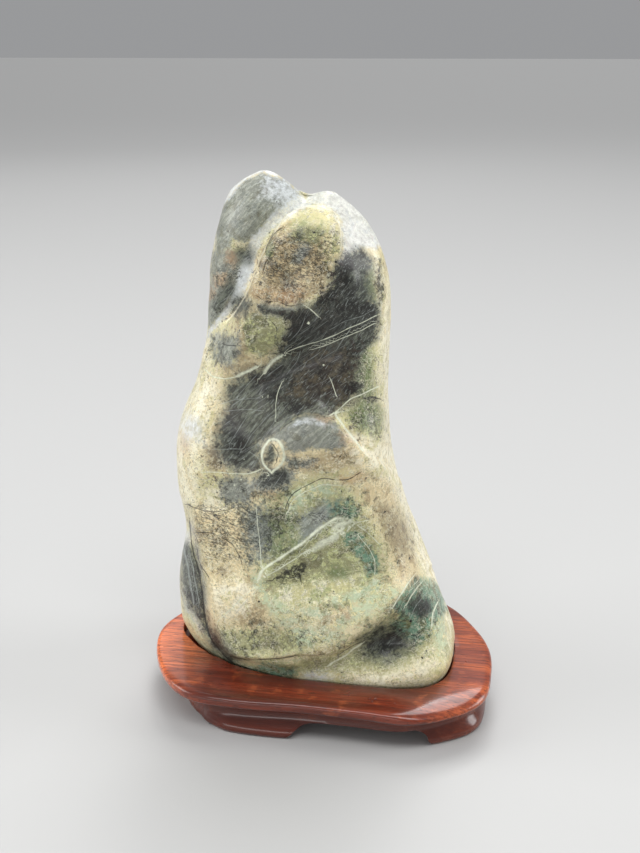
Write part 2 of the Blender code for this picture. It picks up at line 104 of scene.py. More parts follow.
# ---- drawn marks --------------------------------------------------------------------------------------
# Patches of the front: how soft each one's edge is, and its outline, in the picture's pixels.
FRONT_PATCHES = {
    "straw": (
        (8, ((330, 674), (380, 674), (412, 668), (424, 648), (440, 640), (454, 648), (452, 674), (438, 688),
            (400, 692), (345, 690))),
        (6, ((284, 232), (296, 217), (310, 209), (326, 207), (339, 217), (342, 234), (340, 256), (330, 264),
            (322, 250), (328, 236), (318, 226), (300, 226))),
        (5, ((252, 598), (290, 584), (318, 582), (342, 576), (358, 574), (352, 590), (322, 602),
            (285, 606))),
        (5, ((204, 490), (222, 490), (222, 508), (204, 510))),
        (6, ((286, 482), (302, 474), (324, 476), (345, 470), (360, 470), (350, 478), (320, 480),
            (298, 492))),
        (6, ((376, 256), (386, 290), (388, 440), (378, 444), (374, 400), (372, 330))),
    ),
    "sand": (
        (12, ((362, 470), (385, 462), (404, 492), (418, 530), (428, 562), (417, 582), (395, 578),
            (380, 555), (376, 535), (362, 515), (352, 492))),
        (12, ((186, 506), (250, 500), (258, 540), (264, 575), (262, 600), (272, 634), (240, 652),
            (212, 640), (202, 600), (190, 555))),
        (8, ((282, 450), (300, 446), (330, 447), (345, 434), (354, 438), (366, 452), (374, 468), (364, 476),
            (345, 482), (322, 480), (300, 488), (288, 498), (262, 504), (248, 498), (262, 486),
            (286, 482))),
        (7, ((262, 262), (276, 232), (288, 222), (332, 236), (342, 256), (336, 278), (322, 292), (304, 306),
            (286, 318), (284, 345), (264, 366), (236, 374), (234, 312), (244, 298), (254, 280))),
        (8, ((206, 366), (222, 372), (226, 400), (216, 420), (204, 400))),
        (8, ((270, 626), (300, 604), (345, 600), (356, 618), (340, 640), (300, 652), (272, 650))),
    ),
    "tan": (
        (2.5, ((268, 240), (276, 229), (288, 221), (300, 234), (322, 246), (334, 262), (327, 280),
            (316, 294), (298, 303), (276, 304), (250, 302), (246, 294), (255, 270))),
        (8, ((288, 456), (306, 458), (325, 450), (344, 438), (354, 440), (364, 450), (368, 458), (356, 468),
            (335, 478), (318, 478), (298, 472))),
        (4, ((220, 366), (240, 360), (256, 360), (260, 368), (244, 376), (222, 380))),
        (5, ((300, 654), (330, 646), (350, 638), (370, 624), (392, 604), (402, 602), (386, 624), (362, 644),
            (335, 657), (305, 662))),
        (5, ((318, 602), (336, 598), (352, 606), (354, 620), (340, 628), (322, 626))),
        (4, ((250, 488), (270, 490), (286, 494), (276, 503), (252, 500))),
        (6, ((204, 446), (220, 442), (224, 460), (217, 476), (204, 470))),
        (5, ((235, 306), (248, 300), (254, 322), (254, 352), (244, 370), (234, 358), (233, 330))),
        (6, ((230, 600), (262, 590), (270, 612), (262, 632), (236, 628))),
    ),
    "olive": (
        (12, ((246, 510), (262, 500), (286, 502), (300, 488), (320, 480), (345, 484), (358, 500),
            (368, 520), (386, 550), (388, 576), (366, 598), (320, 604), (285, 604), (262, 592),
            (250, 560))),
        (6, ((246, 314), (270, 311), (290, 318), (290, 334), (282, 348), (262, 356), (244, 352),
            (241, 330))),
        (7, ((352, 334), (372, 328), (378, 345), (380, 380), (378, 398), (362, 400), (352, 390),
            (350, 360))),
        (5, ((353, 278), (362, 272), (372, 282), (371, 298), (360, 304), (353, 292))),
        (7, ((346, 404), (384, 396), (388, 436), (374, 446), (354, 434))),
        (6, ((286, 482), (302, 474), (322, 478), (318, 488), (300, 496), (285, 504), (274, 498))),
        (12, ((326, 660), (350, 640), (376, 622), (404, 600), (432, 592), (448, 608), (438, 640),
            (420, 664), (380, 674), (340, 674))),
        (6, ((262, 662), (300, 658), (340, 655), (345, 670), (310, 676), (270, 674))),
        (5, ((304, 214), (326, 232), (318, 246), (300, 244), (288, 234))),
        (7, ((216, 630), (260, 626), (300, 632), (330, 640), (300, 655), (236, 658), (218, 648))),
    ),
    "mint": (
        (5, ((254, 572), (264, 582), (274, 598), (292, 610), (320, 606), (334, 612), (304, 628), (280, 626),
            (264, 606), (252, 586))),
        (5, ((182, 602), (200, 625), (216, 645), (236, 664), (222, 670), (204, 652), (186, 628))),
        (4, ((320, 600), (350, 592), (380, 576), (384, 586), (358, 602), (326, 608))),
        (4, ((286, 494), (300, 486), (330, 484), (340, 494), (310, 500), (292, 512), (284, 516))),
        (6, ((282, 622), (330, 626), (345, 640), (300, 646))),
        (5, ((434, 616), (446, 608), (454, 630), (455, 650), (438, 656), (432, 636))),
        (6, ((325, 630), (345, 612), (365, 598), (392, 584), (402, 590), (386, 606), (366, 620),
            (340, 632))),
    ),
    # partly pale stone and partly painted highlight: the lit band down the right edge, the lit left side,
    # and the bottom lip brightened against its shade
    "bright": (
        (6, ((352, 675), (386, 672), (416, 664), (432, 660), (430, 674), (414, 684), (380, 689),
            (352, 687))),
        (4, ((374, 250), (386, 270), (391, 330), (393, 400), (396, 445), (384, 445), (381, 400), (378, 340),
            (377, 300))),
        (6, ((346, 432), (364, 438), (392, 442), (404, 474), (394, 486), (374, 474), (358, 462))),
        (4, ((390, 466), (404, 478), (424, 515), (446, 572), (456, 640), (448, 650), (440, 600), (418, 556),
            (404, 516), (394, 492))),
        (7, ((200, 366), (216, 376), (219, 400), (214, 418), (208, 436), (200, 470), (196, 506), (176, 504),
            (170, 450), (176, 410), (190, 386))),
        (4, ((200, 196), (222, 200), (219, 235), (213, 262), (200, 270))),
        (5, ((212, 588), (235, 576), (254, 588), (248, 612), (224, 620))),
        (4, ((202, 487), (224, 488), (225, 511), (204, 512))),
        (4, ((216, 196), (240, 182), (256, 176), (264, 182), (240, 194), (224, 206))),
        (2, ((232, 242), (260, 241), (260, 246), (234, 247))),
        (4, ((204, 336), (222, 332), (224, 340), (212, 352), (214, 366), (202, 366))),
    ),
    "orange": (
        (5, ((254, 290), (270, 286), (300, 287), (308, 296), (290, 305), (270, 302), (256, 298))),
        (3.5, ((304, 409), (318, 404), (330, 412), (335, 419), (326, 423), (312, 415))),
        (4, ((225, 253), (234, 251), (239, 260), (232, 267), (225, 262))),
        (4, ((213, 276), (226, 275), (231, 284), (220, 289), (211, 285))),
        (3, ((206, 289), (214, 289), (216, 299), (207, 301))),
        (3.5, ((227, 301), (237, 299), (239, 309), (230, 312))),
        (2, ((343, 613), (350, 611), (354, 619), (346, 622))),
        (3, ((340, 476), (352, 477), (362, 469), (367, 473), (357, 483), (342, 485))),
        (5, ((340, 432), (350, 436), (358, 446), (350, 446), (342, 440))),
        (4, ((222, 296), (232, 300), (236, 312), (226, 312))),
        (5, ((180, 430), (188, 436), (190, 456), (180, 452))),
    ),
    # painted sheen: highlights of the overhead light on the valley, the hump behind the lobe, the brow, the
    # top left peak and the lit left edges, and a painted glint on the bottom lip
    "painted_sheen": (
        (3, ((181, 560), (185, 548), (188, 560), (187, 580), (192, 604), (204, 628), (200, 632),
            (186, 606))),
        (7, ((266, 178), (286, 180), (300, 192), (296, 204), (280, 208), (268, 196))),
        (1.6, ((300, 194), (314, 206), (296, 213), (280, 222), (266, 238), (258, 254), (252, 272),
            (245, 292), (236, 306), (222, 322), (206, 340), (208, 332), (221, 314), (233, 292), (240, 270),
            (248, 246), (260, 228), (280, 206))),
        (2.5, ((302, 190), (320, 184), (340, 184), (360, 198), (376, 220), (386, 244), (376, 249),
            (364, 247), (352, 252), (345, 261), (342, 240), (339, 222), (333, 212), (322, 205),
            (308, 206))),
        (1.5, ((286, 427), (296, 421), (308, 419), (322, 421), (332, 426), (322, 425), (308, 423),
            (296, 425))),
        (5, ((306, 674), (330, 674), (330, 680), (308, 682))),
        (3, ((182, 535), (190, 525), (191, 545), (186, 562), (181, 555))),
        (6, ((180, 424), (190, 412), (200, 424), (199, 438), (186, 440))),
        (1.6, ((214, 208), (234, 180), (258, 164), (288, 170), (308, 190), (297, 192), (282, 178),
            (262, 173), (244, 180), (226, 201))),
    ),
    "grey": (
        (3, ((216, 212), (224, 199), (242, 180), (262, 172), (284, 178), (300, 193), (286, 206), (270, 220),
            (259, 236), (250, 242), (232, 242), (230, 250), (214, 252))),
        (4, ((213, 247), (232, 250), (252, 249), (252, 262), (247, 282), (238, 297), (224, 315), (210, 330),
            (203, 326), (204, 300), (208, 272))),
        (5, ((220, 478), (234, 474), (248, 480), (268, 471), (292, 468), (296, 478), (286, 488), (268, 492),
            (254, 492), (247, 506), (230, 506), (219, 496))),
        (6, ((210, 336), (238, 332), (240, 356), (232, 368), (214, 364))),
        (5, ((256, 303), (285, 304), (307, 302), (302, 313), (280, 318), (260, 312))),
        (4, ((293, 252), (304, 243), (311, 250), (302, 264), (294, 262))),
        (8, ((244, 506), (264, 503), (270, 530), (264, 562), (252, 562), (244, 540))),
        (6, ((296, 516), (318, 505), (342, 500), (338, 513), (330, 524), (314, 536), (300, 542))),
        (3, ((268, 442), (276, 432), (284, 424), (296, 415), (312, 412), (328, 414), (338, 424), (346, 436),
            (348, 447), (332, 452), (312, 449), (296, 452), (284, 450), (284, 444))),
        (5, ((282, 456), (300, 460), (316, 458), (308, 467), (286, 470))),
    ),
    "teal": (
        (2.5, ((344, 533), (356, 532), (369, 543), (378, 556), (377, 575), (367, 577), (363, 563),
            (355, 553), (345, 547))),
        (3.5, ((392, 604), (406, 590), (420, 575), (434, 581), (446, 596), (449, 611), (438, 617),
            (432, 631), (414, 629), (400, 616))),
        (5, ((392, 622), (416, 618), (432, 634), (417, 642), (396, 638))),
        (4, ((230, 663), (250, 665), (280, 665), (298, 669), (296, 676), (270, 678), (240, 674))),
        (7, ((330, 504), (348, 502), (358, 513), (350, 521), (334, 518))),
    ),
    "green": (
        (6, ((326, 570), (338, 565), (349, 569), (347, 577), (334, 580))),
        (6, ((256, 518), (280, 512), (302, 518), (308, 536), (296, 552), (276, 558), (258, 546))),
        (1.5, ((264, 255), (267, 246), (272, 241), (275, 247), (272, 256), (267, 262))),
        (5, ((350, 348), (360, 338), (370, 340), (374, 380), (376, 400), (384, 408), (382, 428), (366, 430),
            (350, 418), (352, 396))),
        (6, ((356, 272), (366, 262), (378, 264), (381, 290), (380, 312), (370, 306), (360, 292))),
    ),
    "slate_and_shade": (
        (6, ((228, 386), (242, 377), (258, 370), (272, 364), (300, 356), (340, 344), (360, 350), (352, 400),
            (336, 412), (318, 402), (290, 408), (284, 422), (272, 436), (262, 444), (261, 456), (266, 468),
            (254, 473), (238, 472), (226, 462), (217, 450), (216, 436), (222, 420), (229, 408),
            (227, 395))),
        (3, ((262, 374), (300, 344), (340, 332), (376, 320), (377, 338), (356, 360), (300, 368),
            (276, 380))),
        (2.5, ((276, 396), (300, 392), (338, 396), (337, 413), (324, 415), (308, 414), (294, 417),
            (284, 426), (274, 438), (262, 438))),
        (2.5, ((348, 384), (356, 380), (362, 386), (354, 393), (344, 393))),
        (5, ((183, 544), (195, 549), (201, 575), (204, 602), (196, 608), (184, 592), (179, 570))),
        (4, ((338, 262), (352, 250), (362, 249), (370, 260), (368, 276), (371, 300), (378, 312), (374, 334),
            (350, 342), (320, 346), (296, 356), (270, 364), (284, 342), (300, 322), (316, 312),
            (330, 290))),
        # painted shade in the hollow above the bottom lip, at the lower right
        (7, ((362, 642), (378, 631), (396, 627), (408, 633), (411, 645), (401, 654), (384, 658),
            (367, 655))),
        (4, ((202, 608), (212, 628), (225, 645), (238, 659), (230, 664), (215, 649), (204, 630))),
        (5, ((232, 300), (244, 298), (250, 306), (244, 316), (234, 312))),
        (5, ((238, 251), (249, 248), (254, 254), (249, 261), (240, 261))),
        (4, ((221, 290), (230, 280), (233, 289), (226, 302), (217, 310), (214, 302))),
        (2, ((266, 446), (272, 445), (274, 456), (271, 466), (265, 460))),
    ),
    "dark": (
        (2.5, ((258, 308), (276, 311), (294, 312), (310, 307), (322, 296), (332, 284), (338, 290),
            (330, 304), (318, 316), (304, 330), (288, 344), (282, 336), (292, 324), (280, 317),
            (264, 314))),
        (6, ((336, 272), (346, 262), (354, 280), (360, 302), (375, 305), (377, 328), (360, 333), (345, 340),
            (325, 345), (305, 352), (290, 357), (272, 362), (284, 345), (298, 334), (306, 322), (318, 314),
            (326, 298))),
        (6, ((286, 366), (300, 352), (325, 344), (345, 341), (362, 338), (358, 352), (352, 372), (354, 392),
            (346, 404), (338, 411), (330, 405), (318, 400), (300, 404), (288, 408), (282, 388))),
        (5, ((250, 376), (280, 366), (296, 372), (290, 392), (276, 404), (262, 396), (252, 388))),
        (7, ((230, 424), (242, 428), (250, 446), (250, 460), (240, 462), (230, 450), (226, 436))),
        # painted shade in the hollow above the bottom lip, at the lower right
        (8, ((372, 642), (382, 634), (396, 632), (404, 640), (396, 651), (380, 653))),
        (5, ((410, 600), (420, 592), (432, 602), (432, 613), (420, 620), (408, 610))),
        (4, ((262, 478), (284, 473), (288, 479), (276, 485), (262, 486))),
        (5, ((186, 590), (198, 592), (204, 612), (210, 632), (202, 626), (190, 606))),
    ),
    "black": (
        (4, ((316, 297), (324, 289), (335, 287), (337, 297), (328, 306), (318, 308))),
        (5, ((284, 318), (298, 313), (312, 312), (319, 318), (309, 330), (298, 340), (290, 344), (282, 342),
            (289, 332), (285, 326))),
        (5, ((341, 386), (352, 380), (359, 386), (352, 394), (342, 394))),
        (4, ((286, 404), (300, 401), (305, 408), (298, 414), (288, 413))),
        (2.5, ((360, 398), (374, 395), (379, 400), (368, 403))),
        (5, ((340, 262), (352, 256), (356, 264), (348, 276), (338, 280))),
        (4, ((378, 268), (382, 262), (384, 290), (380, 300), (376, 284))),
    ),
    "brown": (
        (7, ((376, 512), (392, 504), (406, 520), (412, 544), (404, 562), (392, 550), (382, 532))),
        (5, ((283, 264), (291, 268), (294, 284), (287, 290), (281, 278))),
        (6, ((392, 546), (402, 542), (410, 556), (402, 562))),
        (10, ((300, 355), (330, 350), (352, 348), (354, 375), (354, 400), (340, 410), (318, 400),
            (302, 402), (288, 395), (296, 375))),
        (5, ((206, 447), (217, 445), (220, 460), (215, 473), (207, 468))),
        (6, ((264, 632), (285, 640), (275, 652), (255, 648))),
        (5, ((376, 498), (394, 506), (408, 528), (412, 552), (402, 562), (388, 548), (378, 524))),
    ),
    "net": (
        (10, ((212, 620), (260, 622), (300, 628), (335, 636), (300, 656), (236, 658), (216, 646))),
        (5, ((181, 585), (201, 588), (208, 610), (202, 626), (184, 606))),
        (8, ((336, 260), (352, 250), (364, 248), (376, 258), (380, 275), (380, 300), (356, 312),
            (340, 285))),
        (9, ((336, 640), (366, 630), (362, 654), (340, 658))),
        (9, ((186, 505), (240, 498), (264, 508), (264, 560), (245, 572), (205, 566), (190, 535))),
        (7, ((206, 340), (236, 336), (238, 362), (210, 368))),
        (5, ((346, 404), (380, 400), (386, 430), (366, 440), (350, 426))),
        (6, ((222, 476), (290, 468), (300, 530), (290, 552), (262, 550), (250, 506), (224, 504))),
        (6, ((266, 250), (300, 240), (336, 250), (330, 280), (300, 300), (262, 298))),
        (6, ((210, 270), (240, 262), (244, 284), (226, 310), (208, 320))),
    ),
    "moss": (
        (9, ((190, 506), (240, 498), (264, 508), (264, 548), (245, 566), (205, 564), (190, 535))),
        (3, ((274, 576), (283, 571), (298, 561), (308, 562), (308, 576), (296, 581), (280, 584))),
        (5, ((332, 503), (350, 502), (362, 516), (348, 524), (328, 520))),
        (4, ((310, 511), (334, 511), (336, 523), (312, 525))),
        (4, ((268, 513), (302, 513), (302, 523), (272, 523))),
        (8, ((270, 232), (340, 232), (336, 262), (300, 290), (262, 288), (256, 270))),
        (5, ((282, 462), (300, 456), (320, 458), (312, 468), (286, 476))),
        (6, ((254, 476), (290, 472), (294, 486), (262, 494))),
    ),
    "specks": (
        (10, ((364, 474), (392, 470), (414, 520), (426, 562), (404, 576), (382, 552), (368, 522))),
        (8, ((270, 236), (340, 240), (340, 270), (302, 306), (286, 345), (264, 374), (234, 374), (238, 310),
            (262, 262))),
        (10, ((192, 363), (224, 370), (228, 410), (210, 430), (224, 470), (217, 502), (184, 510),
            (182, 470), (190, 430))),
        (9, ((352, 336), (378, 332), (382, 396), (390, 442), (358, 436), (350, 400))),
        (8, ((330, 480), (370, 490), (376, 520), (340, 524))),
        (4, ((378, 500), (396, 508), (410, 534), (414, 558), (404, 566), (386, 550))),
    ),
}
# Lines of the front: half of each one's width, and its points, in the picture's pixels.
FRONT_LINES = {
    "pale": (
        (1.2, ((319, 546), (331, 537), (344, 528))),
        (0.35, ((376, 316), (350, 328), (329, 338), (300, 347), (286, 353), (272, 364), (264, 374))),
        (0.25, ((374, 324), (352, 334), (330, 344), (312, 350))),
        (1.4, ((265, 371), (271, 363), (280, 356))),
        (1.2, ((257, 367), (249, 371), (238, 376))),
        (0.5, ((238, 376), (226, 379), (214, 377), (206, 370))),
        (0.5, ((331, 415), (340, 409), (350, 399), (362, 394), (378, 387))),
        (0.9, ((269, 440), (263, 448), (262, 457), (265, 466), (272, 473))),
        (1.2, ((272, 473), (280, 466), (284, 456), (282, 446), (276, 440), (269, 440))),
        (0.35, ((262, 469), (252, 473), (240, 474), (224, 472), (204, 472))),
        (1.2, ((259, 578), (262, 571), (275, 562), (289, 552), (302, 543), (313, 534), (326, 525),
            (337, 518), (345, 519))),
        (0.55, ((264, 578), (285, 565), (305, 552), (318, 546), (330, 540), (345, 532), (353, 525))),
        (2.8, ((314, 549), (323, 543), (335, 537))),
        (2.2, ((334, 529), (342, 523), (349, 522))),
        (0.35, ((340, 512), (350, 520), (361, 528), (370, 535), (379, 544))),
        (0.5, ((288, 512), (293, 500), (303, 493), (314, 489), (324, 485), (338, 485))),
        (0.9, ((336, 415), (344, 426), (352, 436), (362, 450))),
        (0.35, ((358, 536), (368, 547), (374, 559), (375, 574))),
        (0.8, ((330, 664), (345, 656), (352, 650), (361, 644))),
        (0.7, ((393, 607), (402, 593), (412, 578))),
        (0.5, ((406, 606), (413, 594), (421, 583))),
        (0.5, ((432, 626), (433, 613), (438, 602))),
        (0.3, ((257, 508), (258, 530), (260, 552), (262, 566))),
        (0.3, ((256, 586), (240, 600), (228, 612), (218, 622))),
        (0.45, ((306, 306), (312, 310), (318, 316))),
        (0.25, ((330, 378), (333, 386), (336, 396))),
        (0.3, ((282, 382), (278, 394), (276, 406), (276, 418))),
    ),
    # a painted highlight along the lobe's lit edge
    "rim": (
        (0.6, ((341, 250), (341, 232), (335, 214), (322, 207), (306, 207), (290, 213), (281, 221),
            (275, 231), (268, 244), (262, 256), (254, 276), (246, 294), (236, 311), (226, 323))),
    ),
    "scratch": (
        (0.7, ((184, 548), (188, 570), (192, 590), (194, 602))),
        (0.5, ((190, 556), (195, 580), (199, 604))),
        (0.6, ((181, 590), (186, 606), (194, 622))),
        (0.25, ((222, 404), (238, 400), (258, 398))),
        (0.2, ((226, 412), (244, 410), (262, 411))),
        (0.25, ((230, 444), (238, 430), (246, 418))),
        (0.2, ((244, 448), (252, 434), (262, 422), (272, 412))),
        (0.2, ((258, 444), (268, 430), (280, 414), (288, 404))),
        (0.25, ((214, 449), (228, 449), (242, 449))),
        (0.2, ((236, 400), (246, 386), (256, 376))),
        (0.2, ((290, 340), (300, 330), (306, 318))),
        (0.2, ((330, 330), (344, 322), (362, 316), (374, 310))),
        (0.2, ((228, 222), (240, 208), (250, 194))),
        (0.25, ((252, 204), (264, 201), (278, 200))),
        (0.2, ((240, 238), (254, 222), (266, 210))),
        (0.2, ((226, 300), (234, 288), (244, 274))),
        (0.25, ((370, 560), (364, 548), (352, 540))),
        (0.25, ((410, 620), (416, 606), (426, 592))),
        (0.25, ((262, 585), (244, 604), (230, 620))),
        (0.2, ((414, 640), (428, 632), (440, 628))),
        (0.2, ((420, 668), (426, 652), (430, 640))),
        (0.2, ((290, 370), (296, 362), (300, 352))),
        (0.2, ((266, 470), (258, 458), (250, 452))),
    ),
    # real cracks, and painted shade along the creases at the foot of the belly and beside the flap
    "crack_and_crease_shade": (
        (0.3, ((258, 297), (266, 302), (277, 301), (289, 306), (300, 304))),
        (0.25, ((276, 243), (271, 254), (266, 262), (263, 272))),
        (0.25, ((270, 320), (277, 329), (275, 341), (281, 349))),
        (1.6, ((277, 578), (280, 577), (284, 578))),
        (1.4, ((285, 575), (287, 571), (289, 574))),
        (1.3, ((291, 573), (292, 567), (295, 566))),
        (1.3, ((296, 575), (298, 572), (300, 576))),
        (1.3, ((299, 568), (302, 563), (305, 566), (303, 571))),
        (0.35, ((285, 509), (291, 495), (302, 488), (313, 483), (323, 479), (337, 480), (350, 479),
            (361, 472))),
        (0.35, ((230, 656), (245, 659), (260, 660), (275, 659), (294, 656))),
        (0.6, ((189, 520), (193, 550), (200, 577), (203, 604), (209, 633), (220, 650), (233, 663))),
        (0.6, ((274, 446), (278, 453), (276, 461))),
        (0.4, ((222, 344), (228, 345), (234, 345))),
        (0.5, ((266, 250), (270, 240), (275, 232), (281, 228))),
        (0.5, ((364, 399), (372, 397), (380, 399))),
        (0.3, ((186, 504), (200, 510), (216, 512), (234, 508))),
        (0.3, ((196, 532), (214, 534), (232, 544), (242, 562))),
        (0.3, ((214, 516), (232, 524), (250, 530))),
        (0.3, ((238, 503), (248, 512), (262, 516))),
        (0.35, ((197, 548), (200, 562), (208, 576))),
        (0.3, ((340, 654), (352, 646), (366, 640))),
    ),
}
# Small spots of the front: their kind, radius and middle, in the picture's pixels.
FRONT_SPOTS = {
    "black": (
        (1.6, (352, 450)), (1.1, (348, 445)), (1.1, (321, 448)), (1.0, (319, 454)), (1.1, (313, 467)),
        (1.1, (342, 492)), (1.0, (374, 500)), (1.3, (402, 556)), (1.2, (409, 558)), (1.4, (259, 602)),
        (1.2, (221, 462)), (1.5, (411, 621)), (1.4, (422, 658)), (1.2, (385, 512)), (1.3, (232, 352)),
        (1.2, (376, 399)), (1.2, (334, 592)), (1.2, (300, 617)), (1.6, (336, 262)), (1.3, (314, 232)),
    ),
    "bright": (
        (1.6, (309, 323)), (1.3, (234, 484)), (1.2, (241, 480)), (1.2, (236, 494)), (1.4, (262, 396)),
        (1.4, (324, 366)), (1.6, (268, 396)), (1.2, (244, 458)), (1.2, (256, 480)), (1.1, (284, 508)),
    ),
}
# Patches of the back, in mm to the stone's right and up.
BACK_PATCHES = {
    "sand": (
        (4, ((-2, 150), (12, 130), (24, 112), (36, 92), (36, 120), (28, 150), (14, 168), (2, 164))),
        (4, ((-30, 64), (-14, 58), (4, 66), (-4, 80), (-18, 90), (-32, 84))),
        (4, ((-46, 24), (-20, 18), (-10, 26), (-22, 36), (-44, 36))),
    ),
    "tan": (
        (3, ((6, 140), (16, 126), (26, 124), (22, 142), (12, 152))),
        (3, ((-40, 176), (-28, 178), (-18, 168), (-14, 180), (-26, 196))),
        (3, ((-26, 70), (-14, 66), (-8, 74), (-18, 82))),
    ),
    "olive": (
        (4, ((-54, 82), (-46, 76), (-34, 92), (-22, 102), (-30, 116), (-42, 126), (-52, 112))),
        (4, ((-6, 34), (12, 30), (30, 40), (40, 56), (30, 74), (14, 66), (2, 56), (-8, 46))),
        (3, ((8, 170), (18, 160), (24, 168), (16, 184))),
    ),
    "green": (
        (3, ((-48, 92), (-40, 90), (-34, 104), (-42, 114))),
        (3, ((14, 40), (28, 46), (30, 60), (18, 54))),
    ),
    "straw": (
        (4, ((-8, 16), (34, 14), (44, 26), (20, 30), (-6, 28))),
        (3, ((-8, 96), (4, 84), (10, 90), (-2, 106))),
    ),
    "mint": (
        (3, ((-16, 42), (-2, 46), (10, 62), (24, 72), (12, 74), (-4, 62), (-18, 52))),
    ),
    "bright": (
        (3, ((20, 100), (34, 80), (44, 52), (46, 70), (38, 98), (26, 116))),
        (3, ((-24, 132), (-8, 114), (2, 104), (-4, 118), (-16, 136), (-22, 148))),
    ),
    "grey": (
        (4, ((-12, 156), (0, 150), (6, 168), (0, 188), (-12, 186), (-18, 170))),
        (4, ((-50, 60), (-38, 52), (-24, 56), (-28, 68), (-44, 74))),
    ),
    "orange": (
        (2, ((14, 118), (20, 114), (22, 122), (16, 126))),
        (2, ((-36, 74), (-30, 72), (-28, 78), (-34, 80))),
    ),
    # painted sheen on the upper face of the back
    "painted_sheen": (
        (2, ((-26, 192), (-10, 202), (8, 198), (20, 184), (12, 186), (-4, 190), (-18, 184))),
    ),
    "teal": (
        (3, ((20, 22), (36, 20), (46, 32), (40, 44), (30, 36), (22, 32))),
        (3, ((-56, 96), (-48, 94), (-44, 104), (-52, 112))),
    ),
    "slate_and_shade": (
        (2.5, ((-48, 150), (-42, 166), (-36, 178), (-28, 168), (-24, 152), (-12, 144), (-4, 128), (-2, 118),
            (-10, 112), (-20, 122), (-30, 124), (-36, 134), (-46, 136))),
        (2.5, ((-4, 112), (6, 114), (14, 102), (24, 96), (26, 84), (18, 76), (8, 82), (4, 92), (-6, 98))),
        (3, ((-54, 36), (-44, 30), (-30, 38), (-16, 42), (-20, 52), (-34, 50), (-46, 58), (-54, 50))),
        (2.5, ((24, 74), (36, 60), (42, 46), (44, 54), (38, 70), (28, 82))),
    ),
    "dark": (
        (3, ((-40, 146), (-34, 160), (-28, 150), (-18, 138), (-6, 122), (-14, 118), (-28, 132))),
        (3, ((-50, 40), (-40, 36), (-34, 44), (-46, 50))),
    ),
    "brown": (
        (4, ((-10, 128), (4, 108), (14, 96), (12, 88), (0, 102), (-12, 114))),
    ),
    "black": (
        (1.5, ((-38, 150), (-34, 146), (-30, 152), (-34, 158))),
        (1.5, ((10, 88), (18, 84), (16, 92))),
    ),
    "moss": (
        (4, ((-10, 30), (20, 24), (34, 50), (6, 56))),
        (4, ((-50, 84), (-28, 90), (-30, 116), (-46, 118))),
    ),
    "specks": (
        (5, ((-24, 56), (10, 60), (4, 90), (-20, 96))),
        (5, ((4, 140), (34, 90), (34, 120), (14, 164))),
    ),
    "net": (
        (5, ((-48, 16), (-8, 14), (-6, 40), (-44, 44))),
        (4, ((6, 66), (34, 40), (40, 60), (16, 84))),
    ),
}
BACK_LINES = {
    "pale": (
        (0.14, ((-46, 149), (-30, 143), (-14, 134), (2, 124), (14, 118))),
        (0.08, ((-44, 143), (-30, 138), (-12, 127), (4, 116))),
        (0.3, ((-20, 40), (-10, 45), (-4, 52), (6, 56), (12, 64), (24, 70), (30, 79))),
        (0.12, ((-16, 38), (-4, 44), (6, 50), (16, 60), (28, 66))),
        (0.12, ((-32, 170), (-30, 158), (-24, 148))),
    ),
    "crack_and_crease_shade": (
        (0.12, ((-50, 86), (-38, 84), (-29, 78), (-14, 75), (-6, 68), (10, 63))),
        (0.1, ((16, 178), (13, 166), (13, 154), (9, 141))),
        (0.12, ((-40, 30), (-28, 28), (-22, 33), (-10, 31), (-2, 36), (12, 33))),
    ),
}
# Patches of the two ends: how far back and up, in mm. The left end's are first.
LEFT_PATCHES = {
    "grey": (
        (3, ((-20, 148), (-6, 140), (6, 148), (12, 166), (6, 188), (-4, 196), (-16, 184))),
    ),
    "slate_and_shade": (
        (2.5, ((4, 126), (9, 118), (15, 126), (17, 142), (22, 158), (16, 168), (10, 156), (8, 142))),
        (2.5, ((4, 38), (12, 30), (20, 40), (24, 56), (18, 66), (12, 56), (10, 46))),
    ),
    "dark": (
        (2, ((10, 130), (14, 128), (17, 150), (13, 152))),
    ),
    "olive": (
        (4, ((-8, 72), (4, 64), (16, 72), (22, 90), (14, 106), (2, 102), (-6, 90))),
    ),
    "green": (
        (3, ((4, 78), (12, 76), (16, 90), (8, 96))),
    ),
    "tan": (
        (3, ((-14, 104), (-4, 98), (4, 108), (2, 122), (-8, 126), (-14, 116))),
    ),
    "sand": (
        (3, ((-18, 54), (-4, 48), (4, 56), (0, 70), (-14, 74))),
        (3, ((-2, 128), (4, 120), (6, 138), (0, 144))),
    ),
    "bright": (
        (3, ((-18, 80), (-8, 76), (-4, 92), (-6, 106), (-14, 124))),
    ),
    "moss": (
        (4, ((-6, 62), (18, 60), (22, 84), (-2, 88))),
    ),
    "net": (
        (4, ((-12, 20), (16, 18), (18, 40), (-8, 44))),
    ),
    "specks": (
        (5, ((-12, 96), (18, 100), (14, 128), (-12, 126))),
    ),
}
RIGHT_PATCHES = {
    "olive": (
        (5, ((0, 40), (20, 36), (24, 80), (8, 92), (-2, 70))),
        (4, ((4, 120), (16, 116), (16, 150), (4, 156))),
    ),
    "sand": (
        (5, ((-4, 90), (16, 88), (16, 118), (-2, 120))),
    ),
    "slate_and_shade": (
        (4, ((2, 150), (14, 144), (12, 174), (2, 176))),
        (4, ((10, 50), (22, 46), (22, 66), (12, 70))),
    ),
    "teal": (
        (3, ((4, 18), (20, 18), (20, 32), (6, 34))),
    ),
    "bright": (
        (4, ((-10, 80), (0, 76), (2, 150), (-6, 170), (-12, 140))),
    ),
    "specks": (
        (6, ((-4, 50), (20, 46), (18, 120), (-4, 124))),
    ),
}
KINDS = tuple(FRONT_PATCHES)
FACING_START = -0.25  # how squarely a place faces the camera where the drawn marks of the front begin
FACING_FULL = 0.1
TURNED_START = 0.15  # the same for those of the back and the ends, against their own axes
TURNED_FULL = 0.5
